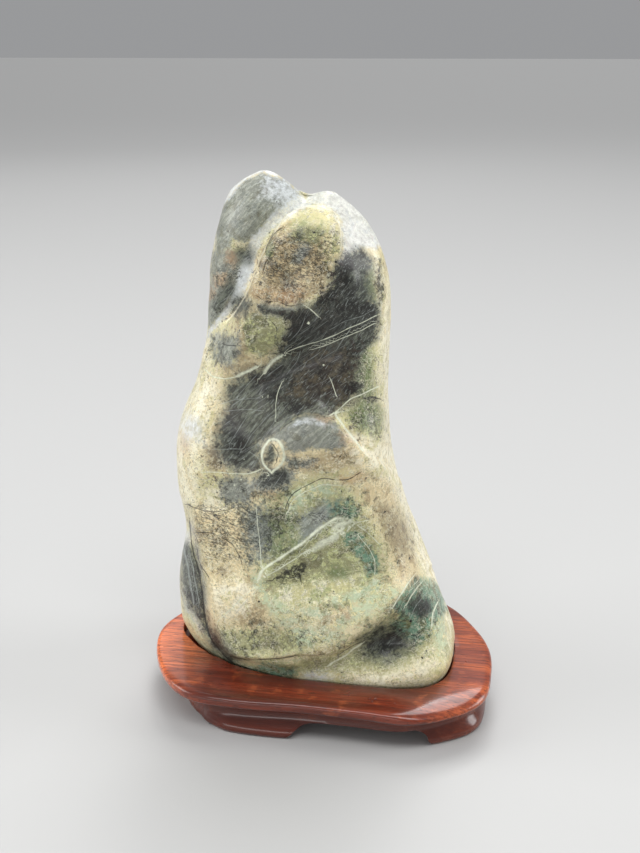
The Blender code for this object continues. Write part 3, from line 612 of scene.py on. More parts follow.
PIXELS_PER_MM = 2.7  # about halfway up the stone
WANDER = ((9.0, 1.1), (3.0, 0.5))  # how the drawn marks stray: the size of each swing and its reach, in mm
BACK_LINE_WANDER = 0.15  # the share of it in the lines of the back


def smoothstep(low, high, value):
    share = np.clip((value - low) / (high - low), 0.0, 1.0)
    return share * share * (3.0 - 2.0 * share)


def stretches(chart, points, closed=False):
    """Each place's distance from the nearest stretch of the path, and which side of it the place is on.

    The side is 1 on the path's left and -1 on its right where the chart runs upwards, and the other way
    round in the picture's pixels, which run downwards.
    """
    points = np.array(points, float)
    ends = np.roll(points, -1, axis=0) if closed else points[1:]
    starts = points if closed else points[:-1]
    best = np.full(len(chart), np.inf)
    side = np.ones(len(chart))
    for start, end in zip(starts, ends):
        run = end - start
        offset = chart - start
        share = np.clip(offset @ run / (run @ run), 0.0, 1.0)
        away = offset - share[:, None] * run
        distance = np.linalg.norm(away, axis=1)
        nearer = distance < best
        turn = np.sign(run[0] * offset[:, 1] - run[1] * offset[:, 0])
        side = np.where(nearer, turn, side)
        best = np.where(nearer, distance, best)
    return best, side


def inside(chart, outline):
    """Whether each place is inside the closed outline, by counting the crossings to its right."""
    outline = np.array(outline, float)
    within = np.zeros(len(chart), bool)
    for (x0, y0), (x1, y1) in zip(outline, np.roll(outline, -1, axis=0)):
        if y0 == y1:
            continue
        spans = (chart[:, 1] > y0) != (chart[:, 1] > y1)
        crossing = x0 + (chart[:, 1] - y0) / (y1 - y0) * (x1 - x0)
        within ^= spans & (chart[:, 0] < crossing)
    return within


def patch_field(chart, patches):
    """0.5 on the outline of the nearest patch, up to 1 well inside it and down to 0 well outside."""
    field = np.zeros(len(chart))
    for soft, outline in patches:
        distance, _ = stretches(chart, outline, closed=True)
        signed = np.where(inside(chart, outline), distance, -distance)
        field = np.maximum(field, np.clip(0.5 + signed / (4.0 * soft), 0.0, 1.0))
    return field


def smooth_path(points, closed=False, each=6):
    """A curve through the points."""
    points = np.array(points, float)
    if closed:
        around = np.vstack([points[-1:], points, points[:2]])
    else:
        around = np.vstack([2 * points[0] - points[1], points, 2 * points[-1] - points[-2]])
    t = np.linspace(0.0, 1.0, each, endpoint=False)[:, None]
    path = []
    for before, start, end, after in zip(around, around[1:], around[2:], around[3:]):
        bend = 2 * before - 5 * start + 4 * end - after
        twist = 3 * start - before - 3 * end + after
        path.append(0.5 * (2 * start + (end - before) * t + bend * t**2 + twist * t**3))
    return np.vstack(path if closed else [*path, points[-1:]])


FAR = 40.0  # a distance from a line, in its half widths, that counts as off it altogether
NEAR_LINE = 8.0  # from here out, in half widths, a line fades away, and it is gone at twice this


def line_fields(chart, lines):
    """Each place's distance from the nearest line, in its half widths: first with its side as a sign."""
    near = np.full(len(chart), FAR)
    signed = np.full(len(chart), FAR)
    for half_width, points in lines:
        distance, side = stretches(chart, smooth_path(points))
        distance = distance / half_width
        nearer = distance < near
        signed = np.where(nearer, side * distance, signed)
        near = np.where(nearer, distance, near)
    return signed, near


# ---- the stone's shape --------------------------------------------------------------------------------
STONE_LEVELS = 2
WELD = 1e-6  # vertices closer than this, in metres, are one
LOBE_OUTLINE = (
    (214, 338), (224, 326), (236, 311), (245, 298), (253, 280), (262, 258), (270, 241), (277, 229),
    (286, 216), (300, 208), (318, 206), (332, 211), (340, 224), (342, 240), (340, 256), (332, 270),
)
BROW = ((276, 436), (285, 425), (297, 417), (313, 416), (328, 421), (338, 434))
SHOULDER = ((332, 416), (340, 426), (350, 437), (364, 450), (380, 462), (394, 474))
CRACK = ((285, 509), (291, 495), (302, 488), (313, 483), (323, 479), (337, 480), (350, 479), (361, 472))
VEIN = ((262, 577), (275, 567), (289, 556), (302, 547), (315, 537), (328, 527), (338, 520), (346, 521))
BOWL_SIDE = ((344, 519), (358, 527), (372, 540), (380, 556), (382, 574), (374, 588))
BOWL_FOOT = ((260, 578), (268, 594), (280, 606), (300, 606), (325, 600), (350, 594), (374, 586))
KNOB = (
    (269, 440), (263, 448), (262, 457), (265, 466), (272, 473), (280, 466), (284, 456), (282, 446),
    (276, 440),
)
BELLY_FOOT = (
    (226, 655), (238, 658), (260, 660), (280, 659), (300, 656), (330, 655), (350, 646), (370, 632),
    (392, 614), (410, 596), (420, 582),
)
FLAP = ((188, 515), (193, 550), (200, 577), (203, 604), (209, 633), (220, 650), (233, 663))
VALLEY = ((300, 204), (288, 209), (272, 222), (260, 240), (252, 262), (245, 284), (234, 306), (218, 330))
# Each step of the front: how much lower it is on the left of its path, in mm, over what soft width and how
# far out that dies away, in pixels, and its path.
STEPS = (
    (2.6, 2.4, 18, LOBE_OUTLINE),
    (1.8, 3.0, 16, BROW),
    (1.6, 3.0, 20, SHOULDER),
    (0.7, 1.4, 12, CRACK),
    (-1.6, 2.4, 18, VEIN),
    (-1.4, 3.0, 16, BOWL_SIDE),
    (0.8, 4.0, 16, BOWL_FOOT),
    (-2.4, 2.4, 24, BELLY_FOOT),
    (-1.4, 2.2, 14, FLAP),
)
# Each furrow: its depth in mm (a ridge is below 0), half its width in pixels, and its path.
FURROWS = (
    (0.35, 1.6, CRACK),
    (-0.5, 2.6, VEIN),
    (0.9, 2.4, FLAP),
    (0.6, 2.4, BELLY_FOOT[:7]),
    (1.5, 5.5, VALLEY),
    (-0.5, 1.8, KNOB),
    (-0.3, 2.4, ((331, 415), (340, 409), (350, 399), (362, 394), (378, 387))),
    (-0.2, 1.6, ((376, 316), (350, 328), (329, 338), (300, 347), (286, 353), (272, 364), (262, 372))),
    (-0.3, 2.0, ((330, 664), (345, 656), (352, 650), (361, 644))),
)
# Each dent: its depth in mm (a swelling is below 0), its middle and how far it reaches, in pixels.
DENTS = (
    (-1.0, (272, 456), (9, 15)),
    (0.6, (273, 457), (4, 6)),
    (-0.8, (306, 438), (22, 12)),
    (0.9, (348, 418), (10, 8)),
    (0.8, (244, 255), (10, 10)),
    (0.6, (226, 290), (8, 16)),
    (-0.7, (225, 400), (10, 24)),
    (0.7, (236, 490), (14, 10)),
    (0.8, (282, 532), (18, 14)),
    (-0.6, (236, 600), (20, 24)),
    (-0.6, (334, 612), (16, 10)),
    (0.7, (388, 644), (18, 10)),
    (-0.8, (352, 284), (8, 14)),
    (0.8, (330, 300), (14, 10)),
    (-0.6, (270, 330), (16, 16)),
    (0.7, (404, 604), (12, 8)),
)
DENT_UNEVEN = ((0.3, 11.0), (0.12, 4.5), (0.05, 2.0))  # swellings all over: their height and size, in mm
FOOT_FREE = 0.015  # below this height, in metres, the stone is left as the stand's recess expects it
FOOT_TOP = 0.022  # from this height up it is carved in full
JOIN_FACE_ANGLE = math.radians(60.0)  # how flat and how square two triangles are that make one square
JOIN_SHAPE_ANGLE = math.radians(80.0)
END_TAPER = 0.16  # a step or furrow fades away over this share of its length at each end


def refined_stone():
    """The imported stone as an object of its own, its triangles joined into squares and divided twice."""
    mesh = bmesh.new()
    mesh.from_mesh(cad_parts["stone"].data)
    bmesh.ops.remove_doubles(mesh, verts=mesh.verts, dist=WELD)
    bmesh.ops.join_triangles(
        mesh,
        faces=mesh.faces,
        angle_face_threshold=JOIN_FACE_ANGLE,
        angle_shape_threshold=JOIN_SHAPE_ANGLE,
    )
    data = bpy.data.meshes.new("stone_coarse")
    mesh.to_mesh(data)
    mesh.free()
    coarse = bpy.data.objects.new("stone_coarse", data)
    bpy.context.scene.collection.objects.link(coarse)
    divide = coarse.modifiers.new("divide", "SUBSURF")
    divide.levels = STONE_LEVELS
    graph = bpy.context.evaluated_depsgraph_get()
    fine = bpy.data.meshes.new_from_object(coarse.evaluated_get(graph))
    bpy.data.objects.remove(coarse)
    stone = bpy.data.objects.new("scholars_rock", fine)
    fine.materials.clear()
    bpy.context.scene.collection.objects.link(stone)
    return stone


def vertices_of(mesh):
    places = np.empty(len(mesh.vertices) * 3)
    mesh.vertices.foreach_get("co", places)
    normals = np.empty(len(mesh.vertices) * 3)
    mesh.vertices.foreach_get("normal", normals)
    return places.reshape(-1, 3), normals.reshape(-1, 3)


def facing_camera(places, normals):
    towards = CAMERA_PLACE - places
    towards /= np.linalg.norm(towards, axis=1)[:, None]
    return smoothstep(FACING_START, FACING_FULL, (normals * towards).sum(axis=1))


def noise_at(places, size):
    """A smooth random direction at each place, which changes over about this size, in metres."""
    return np.array([noise.noise_vector(Vector(place / size)) for place in places])


def way_along(chart, points):
    """Each place's signed distance from the path, above 0 on its right as seen in the picture, and a share
    that is 1 beside most of it and falls to 0 at its ends."""
    path = smooth_path(points)
    distance, side = stretches(chart, path)
    long = np.linalg.norm(np.diff(path, axis=0), axis=1).sum()
    from_ends = np.minimum(
        np.linalg.norm(chart - path[0], axis=1), np.linalg.norm(chart - path[-1], axis=1)
    )
    return side * distance, smoothstep(0.0, END_TAPER * long, from_ends)


def front_relief(chart):
    """How far each place of the front lies in, in mm."""
    deep = np.zeros(len(chart))
    for depth, soft, reach, points in STEPS:
        across, share = way_along(chart, points)
        lower = smoothstep(-soft, soft, -across) - 0.5
        deep += depth * lower * share * np.exp(-((across / reach) ** 2))
    for depth, width, points in FURROWS:
        across, share = way_along(chart, points)
        deep += depth * np.exp(-((across / width) ** 2)) * share
    for depth, middle, reach in DENTS:
        away = (chart - np.array(middle)) / np.array(reach)
        deep += depth * np.exp(-(away**2).sum(axis=1))
    return deep


def carve_stone(stone):
    places, normals = vertices_of(stone.data)
    out = -front_relief(in_picture(places)) * facing_camera(places, normals)
    for axis, (height, size) in enumerate(DENT_UNEVEN):
        out += noise_at(places, size * MM)[:, axis] * height
    out *= smoothstep(FOOT_FREE, FOOT_TOP, places[:, 2])
    places += normals * out[:, None] * MM
    stone.data.vertices.foreach_set("co", places.ravel())
    stone.data.update()


def store(mesh, name, values):
    attribute = mesh.attributes.new(name, "FLOAT", "POINT")
    attribute.data.foreach_set("value", np.asarray(values, np.float32))


def spot_field(chart, spots):
    """1 in the middle of the nearest spot, 0.5 on its rim and 0 twice as far out."""
    field = np.zeros(len(chart))
    for radius, middle in spots:
        distance = np.linalg.norm(chart - np.array(middle), axis=1)
        field = np.maximum(field, np.clip(1.0 - 0.5 * distance / radius, 0.0, 1.0))
    return field


def turned(amount, facing):
    """How much of a drawn mark shows where a face's normal has this share along the drawing's own axis."""
    return smoothstep(TURNED_START, TURNED_FULL, amount) * (1.0 - facing)


def mark_patches(mesh, places, normals, facing, wander):
    """Stores how far inside the drawn patches of each kind every vertex is."""
    front = in_picture(places) + wander * PIXELS_PER_MM
    across, back, up = (places / MM).T
    views = (
        (FRONT_PATCHES, front, facing),
        (BACK_PATCHES, np.column_stack([across, up]) + wander, turned(normals[:, 1], facing)),
        (LEFT_PATCHES, np.column_stack([back, up]) + wander, turned(-normals[:, 0], facing)),
        (RIGHT_PATCHES, np.column_stack([back, up]) + wander, turned(normals[:, 0], facing)),
    )
    for kind in KINDS:
        field = np.zeros(len(places))
        for patches, chart, share in views:
            field = np.maximum(field, patch_field(chart, patches.get(kind, ())) * share)
        store(mesh, kind, field)


def mark_lines(mesh, places, normals, facing, wander):
    """Stores each vertex's distance from the drawn lines of each kind, on the front and the back."""
    steady = in_picture(places) + wander
    across, _, up = (places / MM).T
    behind = np.column_stack([across, up]) + BACK_LINE_WANDER * wander
    for kind, lines in FRONT_LINES.items():
        signed, near = line_fields(steady, lines)
        near += FAR * (1.0 - facing)
        if kind in BACK_LINES:
            back_signed, back_near = line_fields(behind, BACK_LINES[kind])
            back_near += FAR * (1.0 - turned(normals[:, 1], facing))
            signed = np.where(back_near < near, back_signed, signed)
            near = np.minimum(near, back_near)
        store(mesh, kind + "_side", signed)
        store(mesh, kind + "_near", near)


def mark_stone(stone):
    places, normals = vertices_of(stone.data)
    facing = facing_camera(places, normals)
    wander = sum(noise_at(places, size * MM)[:, :2] * reach for size, reach in WANDER)
    mark_patches(stone.data, places, normals, facing, wander)
    for kind, spots in FRONT_SPOTS.items():
        store(stone.data, kind + "_spots", spot_field(in_picture(places) + wander, spots) * facing)
    mark_lines(stone.data, places, normals, facing, wander)


# ---- the stand's shape, in mm -------------------------------------------------------------------------
STAND_HEIGHT = 17.0
RECESS_FLOOR = 12.7
RECESS_GAP = 0.6
RECESS_STEPS = 120
FOOT_MARGIN = 1.0  # how far above the board the stone still counts as its foot
ARCH_HEIGHT = 6.5
RIM = (
    (68.2, -12.0), (67.0, 4.0), (61.0, 19.0), (50.0, 35.0), (33.0, 46.0), (6.0, 49.2), (-24.0, 46.5),
    (-48.0, 34.0), (-62.0, 14.0), (-68.2, -6.0), (-60.5, -30.0), (-46.0, -46.0), (-26.0, -49.2),
    (0.0, -48.0), (22.0, -48.3), (40.0, -48.5), (56.0, -40.5), (66.0, -29.0),
)
RIM_STEPS = 12
# The side from the ground up: the height, and how far it lies in from the rim. A flared foot, a hollow
# waist, a bead under the board, the board's own edge between two arrises, and the flat top.
SIDE_PROFILE = (
    (0.0, 2.7), (0.4, 2.1), (1.0, 1.8), (1.8, 1.6), (2.6, 1.75), (3.4, 2.1), (4.4, 2.9), (5.4, 3.8),
    (6.5, 4.7), (7.6, 5.2), (8.7, 5.4), (9.8, 5.2), (10.7, 4.5), (11.4, 3.6), (12.0, 2.5), (12.5, 1.5),
    (12.9, 0.8), (13.3, 0.35), (13.7, 0.1), (14.2, 0.0), (15.0, 0.05), (15.7, 0.15), (16.1, 0.35),
    (16.45, 0.75), (16.7, 1.3), (16.9, 2.0), (17.0, 2.9),
)
TOP_INSETS = (4.5, 7.0, 10.0, 14.0)  # further rings of the flat top, in from the rim
# How much further the feet lie in from the rim, at places from left to right.
FOOT_TUCK = (
    (-68.0, 8.5), (-46.0, 7.0), (-30.0, 1.2), (-10.0, 0.0), (28.0, 0.0), (45.0, 3.2), (56.0, 2.0),
    (68.5, 0.0),
)
TUCK_FROM = 3.0  # up to this height the tuck is full, and at the next it has gone
TUCK_END = 13.0
HOLLOW_INSET = 12.0
HOLLOW_HEIGHT = 7.1
SIDE_RISE = ARCH_HEIGHT - 0.4
# Each arch between two feet: whether it opens along Y, how far out its cutter goes, and its curve.
ARCHES = (
    (True, -90.0, ((-8, 0), (-5.6, 1.4), (-3.4, 3.6), (0, 5.7), (8, ARCH_HEIGHT),
                   (37, ARCH_HEIGHT), (42.5, 5.8), (45.5, 4.2), (46.6, 2), (48, 0))),
    (True, 90.0, ((-22, 0), (-19.6, 1.4), (-17.4, 3.6), (-14, 5.7), (-6, ARCH_HEIGHT),
                  (14, ARCH_HEIGHT), (22, 5.7), (25.4, 3.6), (27.6, 1.4), (30, 0))),
    (False, -90.0, ((-18, 0), (-16.6, 1.6), (-14.8, 3.8), (-11, 5.4), (-6, SIDE_RISE),
                    (1, SIDE_RISE), (6, 5.4), (9.2, 3.6), (10.6, 1.6), (12, 0))),
    (False, 90.0, ((-7, 0), (-5.8, 1.6), (-4, 3.8), (-1, 5.4), (3, SIDE_RISE),
                   (6, SIDE_RISE), (10, 5.4), (13, 3.6), (14.6, 1.6), (16, 0))),
)
CLEAR = 4.0  # how far each cutter runs on past the face that it opens
# The top falls away past this line, to the front right corner: a place on it, its direction, and the fall.
CORNER_PLACE = (40.0, -42.5)
CORNER_RUN = (26.5, 20.0)
CORNER_REACH = 9.0
CORNER_FALL = 1.7
EDGE_ROUND = 0.5
SHARP_ANGLE = math.radians(50.0)  # an edge that turns by more than this is a real edge
# Little raised specks of the top, taken to be bubbles in the lacquer: each one's radius and middle.
BEADS = (
    (0.5, (15.8, -36.7)), (0.42, (15.9, -38.7)), (0.5, (24.1, -39.8)), (0.55, (26.0, -39.5)),
    (0.36, (25.0, -41.2)), (0.36, (33.5, -41.0)), (0.4, (52.0, 4.0)), (0.36, (58.0, -8.0)),
)
BEAD_FLATNESS = 0.8


def inward(outline):
    """The direction into a closed anticlockwise outline at each of its points."""
    run = np.roll(outline, -1, axis=0) - np.roll(outline, 1, axis=0)
    return np.column_stack([-run[:, 1], run[:, 0]]) / np.linalg.norm(run, axis=1)[:, None]


def level_ring(outline, height):
    return np.column_stack([outline, np.full(len(outline), height)])


def closed_skin(name, rings):
    """An object whose faces bridge the rings in turn and close both ends."""
    mesh = bmesh.new()
    loops = [[mesh.verts.new(point * MM) for point in ring] for ring in rings]
    for lower, upper in zip(loops, loops[1:]):
        for i, start in enumerate(lower):
            after = (i + 1) % len(lower)
            mesh.faces.new((start, lower[after], upper[after], upper[i]))
    mesh.faces.new(loops[0][::-1])
    mesh.faces.new(loops[-1])
    bmesh.ops.recalc_face_normals(mesh, faces=mesh.faces)
    data = bpy.data.meshes.new(name)
    mesh.to_mesh(data)
    mesh.free()
    made = bpy.data.objects.new(name, data)
    bpy.context.scene.collection.objects.link(made)
    return made


def foot_tuck(rim):
    places, tucks = zip(*FOOT_TUCK)
    return np.interp(rim[:, 0], places, tucks)


def corner_fall(ring):
    """How far the top falls at each place, beyond the line across its front right corner."""
    run = np.array(CORNER_RUN) / np.linalg.norm(CORNER_RUN)
    beyond = (ring[:, :2] - np.array(CORNER_PLACE)) @ np.array([run[1], -run[0]])
    upper = smoothstep(ARCH_HEIGHT * 2, STAND_HEIGHT, ring[:, 2])
    return CORNER_FALL * smoothstep(0.0, CORNER_REACH, beyond) * upper


def stand_rings():
    rim = smooth_path(RIM, closed=True, each=RIM_STEPS)
    rings = []
    for height, inset in SIDE_PROFILE:
        low = 1.0 - smoothstep(TUCK_FROM, TUCK_END, height)
        rings.append(level_ring(rim + inward(rim) * (inset + foot_tuck(rim) * low)[:, None], height))
    for inset in TOP_INSETS:
        rings.append(level_ring(rim + inward(rim) * inset, STAND_HEIGHT))
    for ring in rings:
        ring[:, 2] -= corner_fall(ring)
    return rings


def recess_outline(stone):
    """The widest outline of the stone's buried foot, read in even steps round it, with room to spare."""
    places, _ = vertices_of(stone.data)
    buried = places[places[:, 2] < (STAND_HEIGHT + FOOT_MARGIN) * MM] / MM
    centre = buried[:, :2].mean(axis=0)
    offset = buried[:, :2] - centre
    turn = np.arctan2(offset[:, 1], offset[:, 0])
    reach = np.linalg.norm(offset, axis=1)
    turns = np.linspace(-math.pi, math.pi, RECESS_STEPS, endpoint=False)
    apart = (turn[None] - turns[:, None] + math.pi) % (2 * math.pi) - math.pi
    widest = np.where(np.abs(apart) < 1.5 * math.pi / RECESS_STEPS, reach[None], 0.0).max(axis=1)
    outline = centre + widest[:, None] * np.stack([np.cos(turns), np.sin(turns)], axis=1)
    return outline - inward(outline) * RECESS_GAP


def add_beads(data):
    mesh = bmesh.new()
    mesh.from_mesh(data)
    for radius, (x, y) in BEADS:
        place = Matrix.Translation(Vector((x, y, STAND_HEIGHT)) * MM)
        flatten = Matrix.Diagonal((1.0, 1.0, BEAD_FLATNESS, 1.0))
        bmesh.ops.create_icosphere(mesh, subdivisions=2, radius=radius * MM, matrix=place @ flatten)
    mesh.to_mesh(data)
    mesh.free()


def carved_stand(stone):
    stand = closed_skin("carved_stand", stand_rings())
    rim = smooth_path(RIM, closed=True, each=4)
    under = rim + inward(rim) * (HOLLOW_INSET + foot_tuck(rim))[:, None]
    recess = recess_outline(stone)
    pocket = [level_ring(recess, RECESS_FLOOR), level_ring(recess, STAND_HEIGHT + CLEAR)]
    hollow = [level_ring(under, -CLEAR), level_ring(under, HOLLOW_HEIGHT)]
    cutters = [closed_skin("recess_cutter", pocket), closed_skin("hollow_cutter", hollow)]
    for along_y, reach, arch in ARCHES:
        curve = smooth_path(arch, each=5)
        opening = np.vstack([[curve[0, 0], -CLEAR], curve, [curve[-1, 0], -CLEAR]])
        ends = [np.insert(opening, 1 if along_y else 0, outward, axis=1) for outward in (0.0, reach)]
        cutters.append(closed_skin("arch_cutter", ends))
    for cutter in cutters:
        cut = stand.modifiers.new("cut", "BOOLEAN")
        cut.operation = "DIFFERENCE"
        cut.object = cutter
    soften = stand.modifiers.new("soften", "BEVEL")
    soften.width = EDGE_ROUND * MM
    soften.segments = 2
    soften.limit_method = "ANGLE"
    soften.angle_limit = SHARP_ANGLE
    graph = bpy.context.evaluated_depsgraph_get()
    finished = bpy.data.meshes.new_from_object(stand.evaluated_get(graph))
    for made in [stand, *cutters]:
        bpy.data.objects.remove(made)
    add_beads(finished)
    finished.shade_smooth()
    finished.set_sharp_from_angle(angle=SHARP_ANGLE)
    finished.materials.clear()
    carved = bpy.data.objects.new("carved_stand", finished)
    bpy.context.scene.collection.objects.link(carved)
    return carved


# ---- materials ----------------------------------------------------------------------------------------
def colour(red, green, blue):
    """A colour given as it looks on a screen, from 0 to 255, as the linear one that a shader takes."""
    def linear(level):
        level /= 255.0
        return level / 12.92 if level <= 0.04045 else ((level + 0.055) / 1.055) ** 2.4

    return (linear(red), linear(green), linear(blue), 1.0)


CREAM = colour(238, 224, 182)
STRAW = colour(220, 214, 160)
WHITE = colour(246, 240, 214)
PEACH = colour(222, 190, 148)
SAND = colour(216, 198, 156)
TAN = colour(166, 147, 111)
KHAKI = colour(112, 98, 70)
OCHRE = colour(178, 138, 98)
OLIVE = colour(136, 140, 98)
MOSS = colour(92, 100, 70)
LIME = colour(188, 194, 136)
MINT = colour(182, 200, 168)
# the two colours of the painted sheen
PAINTED_SHEEN_WHITE = colour(214, 219, 222)
PAINTED_SHEEN_GREY = colour(190, 194, 198)
GREY = colour(124, 130, 126)
ASH = colour(156, 161, 152)
LEAD = colour(106, 112, 100)
SLATE = colour(60, 63, 59)
TEAL = colour(98, 140, 118)
PINE = colour(34, 62, 54)
CHARCOAL = colour(31, 32, 29)
GREEN = colour(100, 118, 74)
INK = colour(22, 21, 19)
BROWN = colour(52, 38, 29)
CHALK = colour(224, 228, 204)
SCRATCH = colour(176, 184, 178)
WOOD = colour(128, 54, 34)
WOOD_DARK = colour(84, 34, 22)
# the wood's orange bands, and painted sheen towards the stand's ends
WOOD_ORANGE_AND_END_SHEEN = colour(246, 132, 76)
WOOD_RED_AND_END_SHEEN = colour(190, 88, 56)
WOOD_PORE = colour(48, 18, 12)
# painted shade under the board
WOOD_UNDER_BOARD_SHADE = colour(80, 30, 17)


class Shader:
    """One material and short names for the nodes that it is built from."""

    def __init__(self, name):
        self.material = bpy.data.materials.new(name)
        self.material.use_nodes = True
        self.tree = self.material.node_tree
        self.surface = self.tree.nodes["Principled BSDF"]
        self.place = self.tree.nodes.new("ShaderNodeTexCoord").outputs["Object"]

    def node(self, kind, inputs, **settings):
        made = self.tree.nodes.new(kind)
        for name, value in settings.items():
            setattr(made, name, value)
        for name, value in inputs.items():
            if isinstance(value, bpy.types.NodeSocket):
                self.tree.links.new(value, made.inputs[name])
            else:
                made.inputs[name].default_value = value
        return made

    def axes(self):
        return self.node("ShaderNodeSeparateXYZ", {0: self.place}).outputs

    def field(self, name):
        return self.node("ShaderNodeAttribute", {}, attribute_name=name).outputs["Fac"]

    def math(self, operation, first, second=0.0):
        return self.node("ShaderNodeMath", {0: first, 1: second}, operation=operation).outputs[0]

    def add(self, *values):
        total = values[0]
        for value in values[1:]:
            total = self.math("ADD", total, value)
        return total

    def times(self, *values):
        total = values[0]
        for value in values[1:]:
            total = self.math("MULTIPLY", total, value)
        return total

    def most(self, *values):
        highest = values[0]
        for value in values[1:]:
            highest = self.math("MAXIMUM", highest, value)
        return highest

    def step(self, value, low, high, start=0.0, end=1.0):
        """Smoothly from start to end as the value goes from low to high."""
        inputs = {"Value": value, "From Min": low, "From Max": high, "To Min": start, "To Max": end}
        return self.node("ShaderNodeMapRange", inputs, interpolation_type="SMOOTHSTEP").outputs["Result"]

    def mix(self, share, low, high, blend="MIX"):
        made = self.node("ShaderNodeMix", {"Factor": share}, data_type="RGBA", blend_type=blend)
        for socket, value in ((made.inputs[6], low), (made.inputs[7], high)):
            if isinstance(value, bpy.types.NodeSocket):
                self.tree.links.new(value, socket)
            else:
                socket.default_value = value
        return made.outputs[2]

    def stretched(self, scale, turn=(0.0, 0.0, 0.0)):
        """The place, turned by degrees about each axis and then scaled along each axis."""
        turned = self.node(
            "ShaderNodeVectorRotate",
            {"Vector": self.place, "Rotation": [math.radians(angle) for angle in turn]},
            rotation_type="EULER_XYZ",
        )
        return self.node("ShaderNodeMapping", {"Vector": turned.outputs[0], "Scale": scale}).outputs[0]

    def noise(self, size, detail=4.0, rough=0.55, at=None, twist=0.0):
        """Noise whose largest lumps are about this size in mm, times any stretching of the place."""
        inputs = {
            "Vector": at or self.place,
            "Scale": 1.0 / (size * MM),
            "Detail": detail,
            "Roughness": rough,
            "Distortion": twist,
        }
        return self.node("ShaderNodeTexNoise", inputs).outputs[0]

    def warped(self, size, reach):
        """The place, pushed about by up to half this reach, in mm."""
        inputs = {"Vector": self.place, "Scale": 1.0 / (size * MM), "Detail": 3.0}
        push = self.node("ShaderNodeTexNoise", inputs).outputs["Color"]
        centred = self.vector_math("SUBTRACT", {0: push, 1: (0.5, 0.5, 0.5)})
        scaled = self.vector_math("SCALE", {0: centred, "Scale": reach * MM})
        return self.vector_math("ADD", {0: self.place, 1: scaled})

    def vector_math(self, operation, inputs):
        return self.node("ShaderNodeVectorMath", inputs, operation=operation).outputs[0]

    def cells(self, size, feature="F1", at=None):
        inputs = {"Vector": at or self.place, "Scale": 1.0 / (size * MM)}
        return self.node("ShaderNodeTexVoronoi", inputs, feature=feature).outputs["Distance"]

    def bump(self, height, depth, strength=1.0):
        """A bump whose height from 0 to 1 stands for this depth in millimetres."""
        inputs = {"Height": height, "Distance": depth * MM, "Strength": strength}
        self.tree.links.new(self.node("ShaderNodeBump", inputs).outputs[0], self.surface.inputs["Normal"])

    def link(self, value, socket):
        self.tree.links.new(value, self.surface.inputs[socket])

    def set(self, **values):
        for name, value in values.items():
            self.surface.inputs[name.replace("_", " ")].default_value = value


GRAIN_SHARE = 1.9  # how far the grain, and then the blotches, move the edge of a drawn patch
BLOTCH_SHARE = 0.7
EVEN = (1.0, 1.0, 1.0)


class StoneShader(Shader):
    """The polished stone's shader, with the noises that its layers share."""

    def __init__(self):
        super().__init__("polished_stone")
        self.cloud = self.noise(24.0, detail=5, rough=0.6)
        self.blotch = self.noise(6.0, detail=7, rough=0.72, twist=0.6)
        self.patchy = self.noise(3.6, detail=6, rough=0.75, at=self.stretched(EVEN, (31.0, 17.0, 5.0)))
        self.grain = self.noise(1.7, detail=5, rough=0.82)
        self.dust = self.noise(1.3, detail=4, rough=0.8, at=self.stretched(EVEN, (20.0, 30.0, 40.0)))
        lengthways = self.stretched((0.14, 0.5, 0.9), (0.0, 45.0, 0.0))
        self.fibres = self.noise(1.0, detail=4, rough=0.7, at=lengthways)

    def zone(self, kind, spread=0.2):
        """How much of the drawn patches of a kind shows, its edge broken into grains."""
        shifted = self.add(
            self.field(kind),
            self.times(self.add(self.grain, -0.5), GRAIN_SHARE),
            self.times(self.add(self.blotch, -0.5), BLOTCH_SHARE),
        )
        return self.step(shifted, 0.5 - spread, 0.5 + spread)

    def thin_lines(self, winding, core, width):
        """Lines along the middle value of a noise: 1 within the core, and 0 from the width out."""
        return self.step(self.math("ABSOLUTE", self.add(winding, -0.5)), core, width, 1.0, 0.0)

    def scribbles(self, size, width, turn):
        """Thin winding lines, 1 in their middles."""
        at = self.stretched((0.7, 1.0, 1.0), turn)
        winding = self.noise(size, detail=3, rough=0.62, twist=0.8, at=at)
        return self.thin_lines(winding, 0.4 * width, width)

    def tones(self, main, light, dark, by=None, width=0.03):
        """The main colour with lighter and darker blots."""
        lit = self.mix(self.step(by or self.patchy, 0.53 - width, 0.53 + width), main, light)
        return self.mix(self.step(self.blotch, 0.56 - width, 0.56 + width, 0.0, 0.85), lit, dark)

    def line(self, kind, soft, waver):
        """A drawn line, thinned and broken here and there, 1 in its middle."""
        across = self.math("ABSOLUTE", self.field(kind + "_side"))
        across = self.add(across, self.times(self.add(self.patchy, -0.5), waver))
        near = self.step(self.field(kind + "_near"), NEAR_LINE, 2.0 * NEAR_LINE, 1.0, 0.0)
        return self.times(self.step(across, 1.0 - soft, 1.0 + soft, 1.0, 0.0), near)


def ground(sh):
    """The cream stone between the drawn patches."""
    base = sh.mix(sh.step(sh.cloud, 0.42, 0.58), CREAM, STRAW)
    base = sh.mix(sh.step(sh.blotch, 0.5, 0.6, 0.0, 0.6), base, PEACH)
    return sh.mix(sh.step(sh.patchy, 0.54, 0.62, 0.0, 0.5), base, ASH)


def lay_over(sh, base, layers):
    """The base with each layer's tone over it, wherever patches of its kind are drawn."""
    for kind, tone, cover, spread in layers:
        base = sh.mix(sh.times(sh.zone(kind, spread), cover), base, tone)
    return base


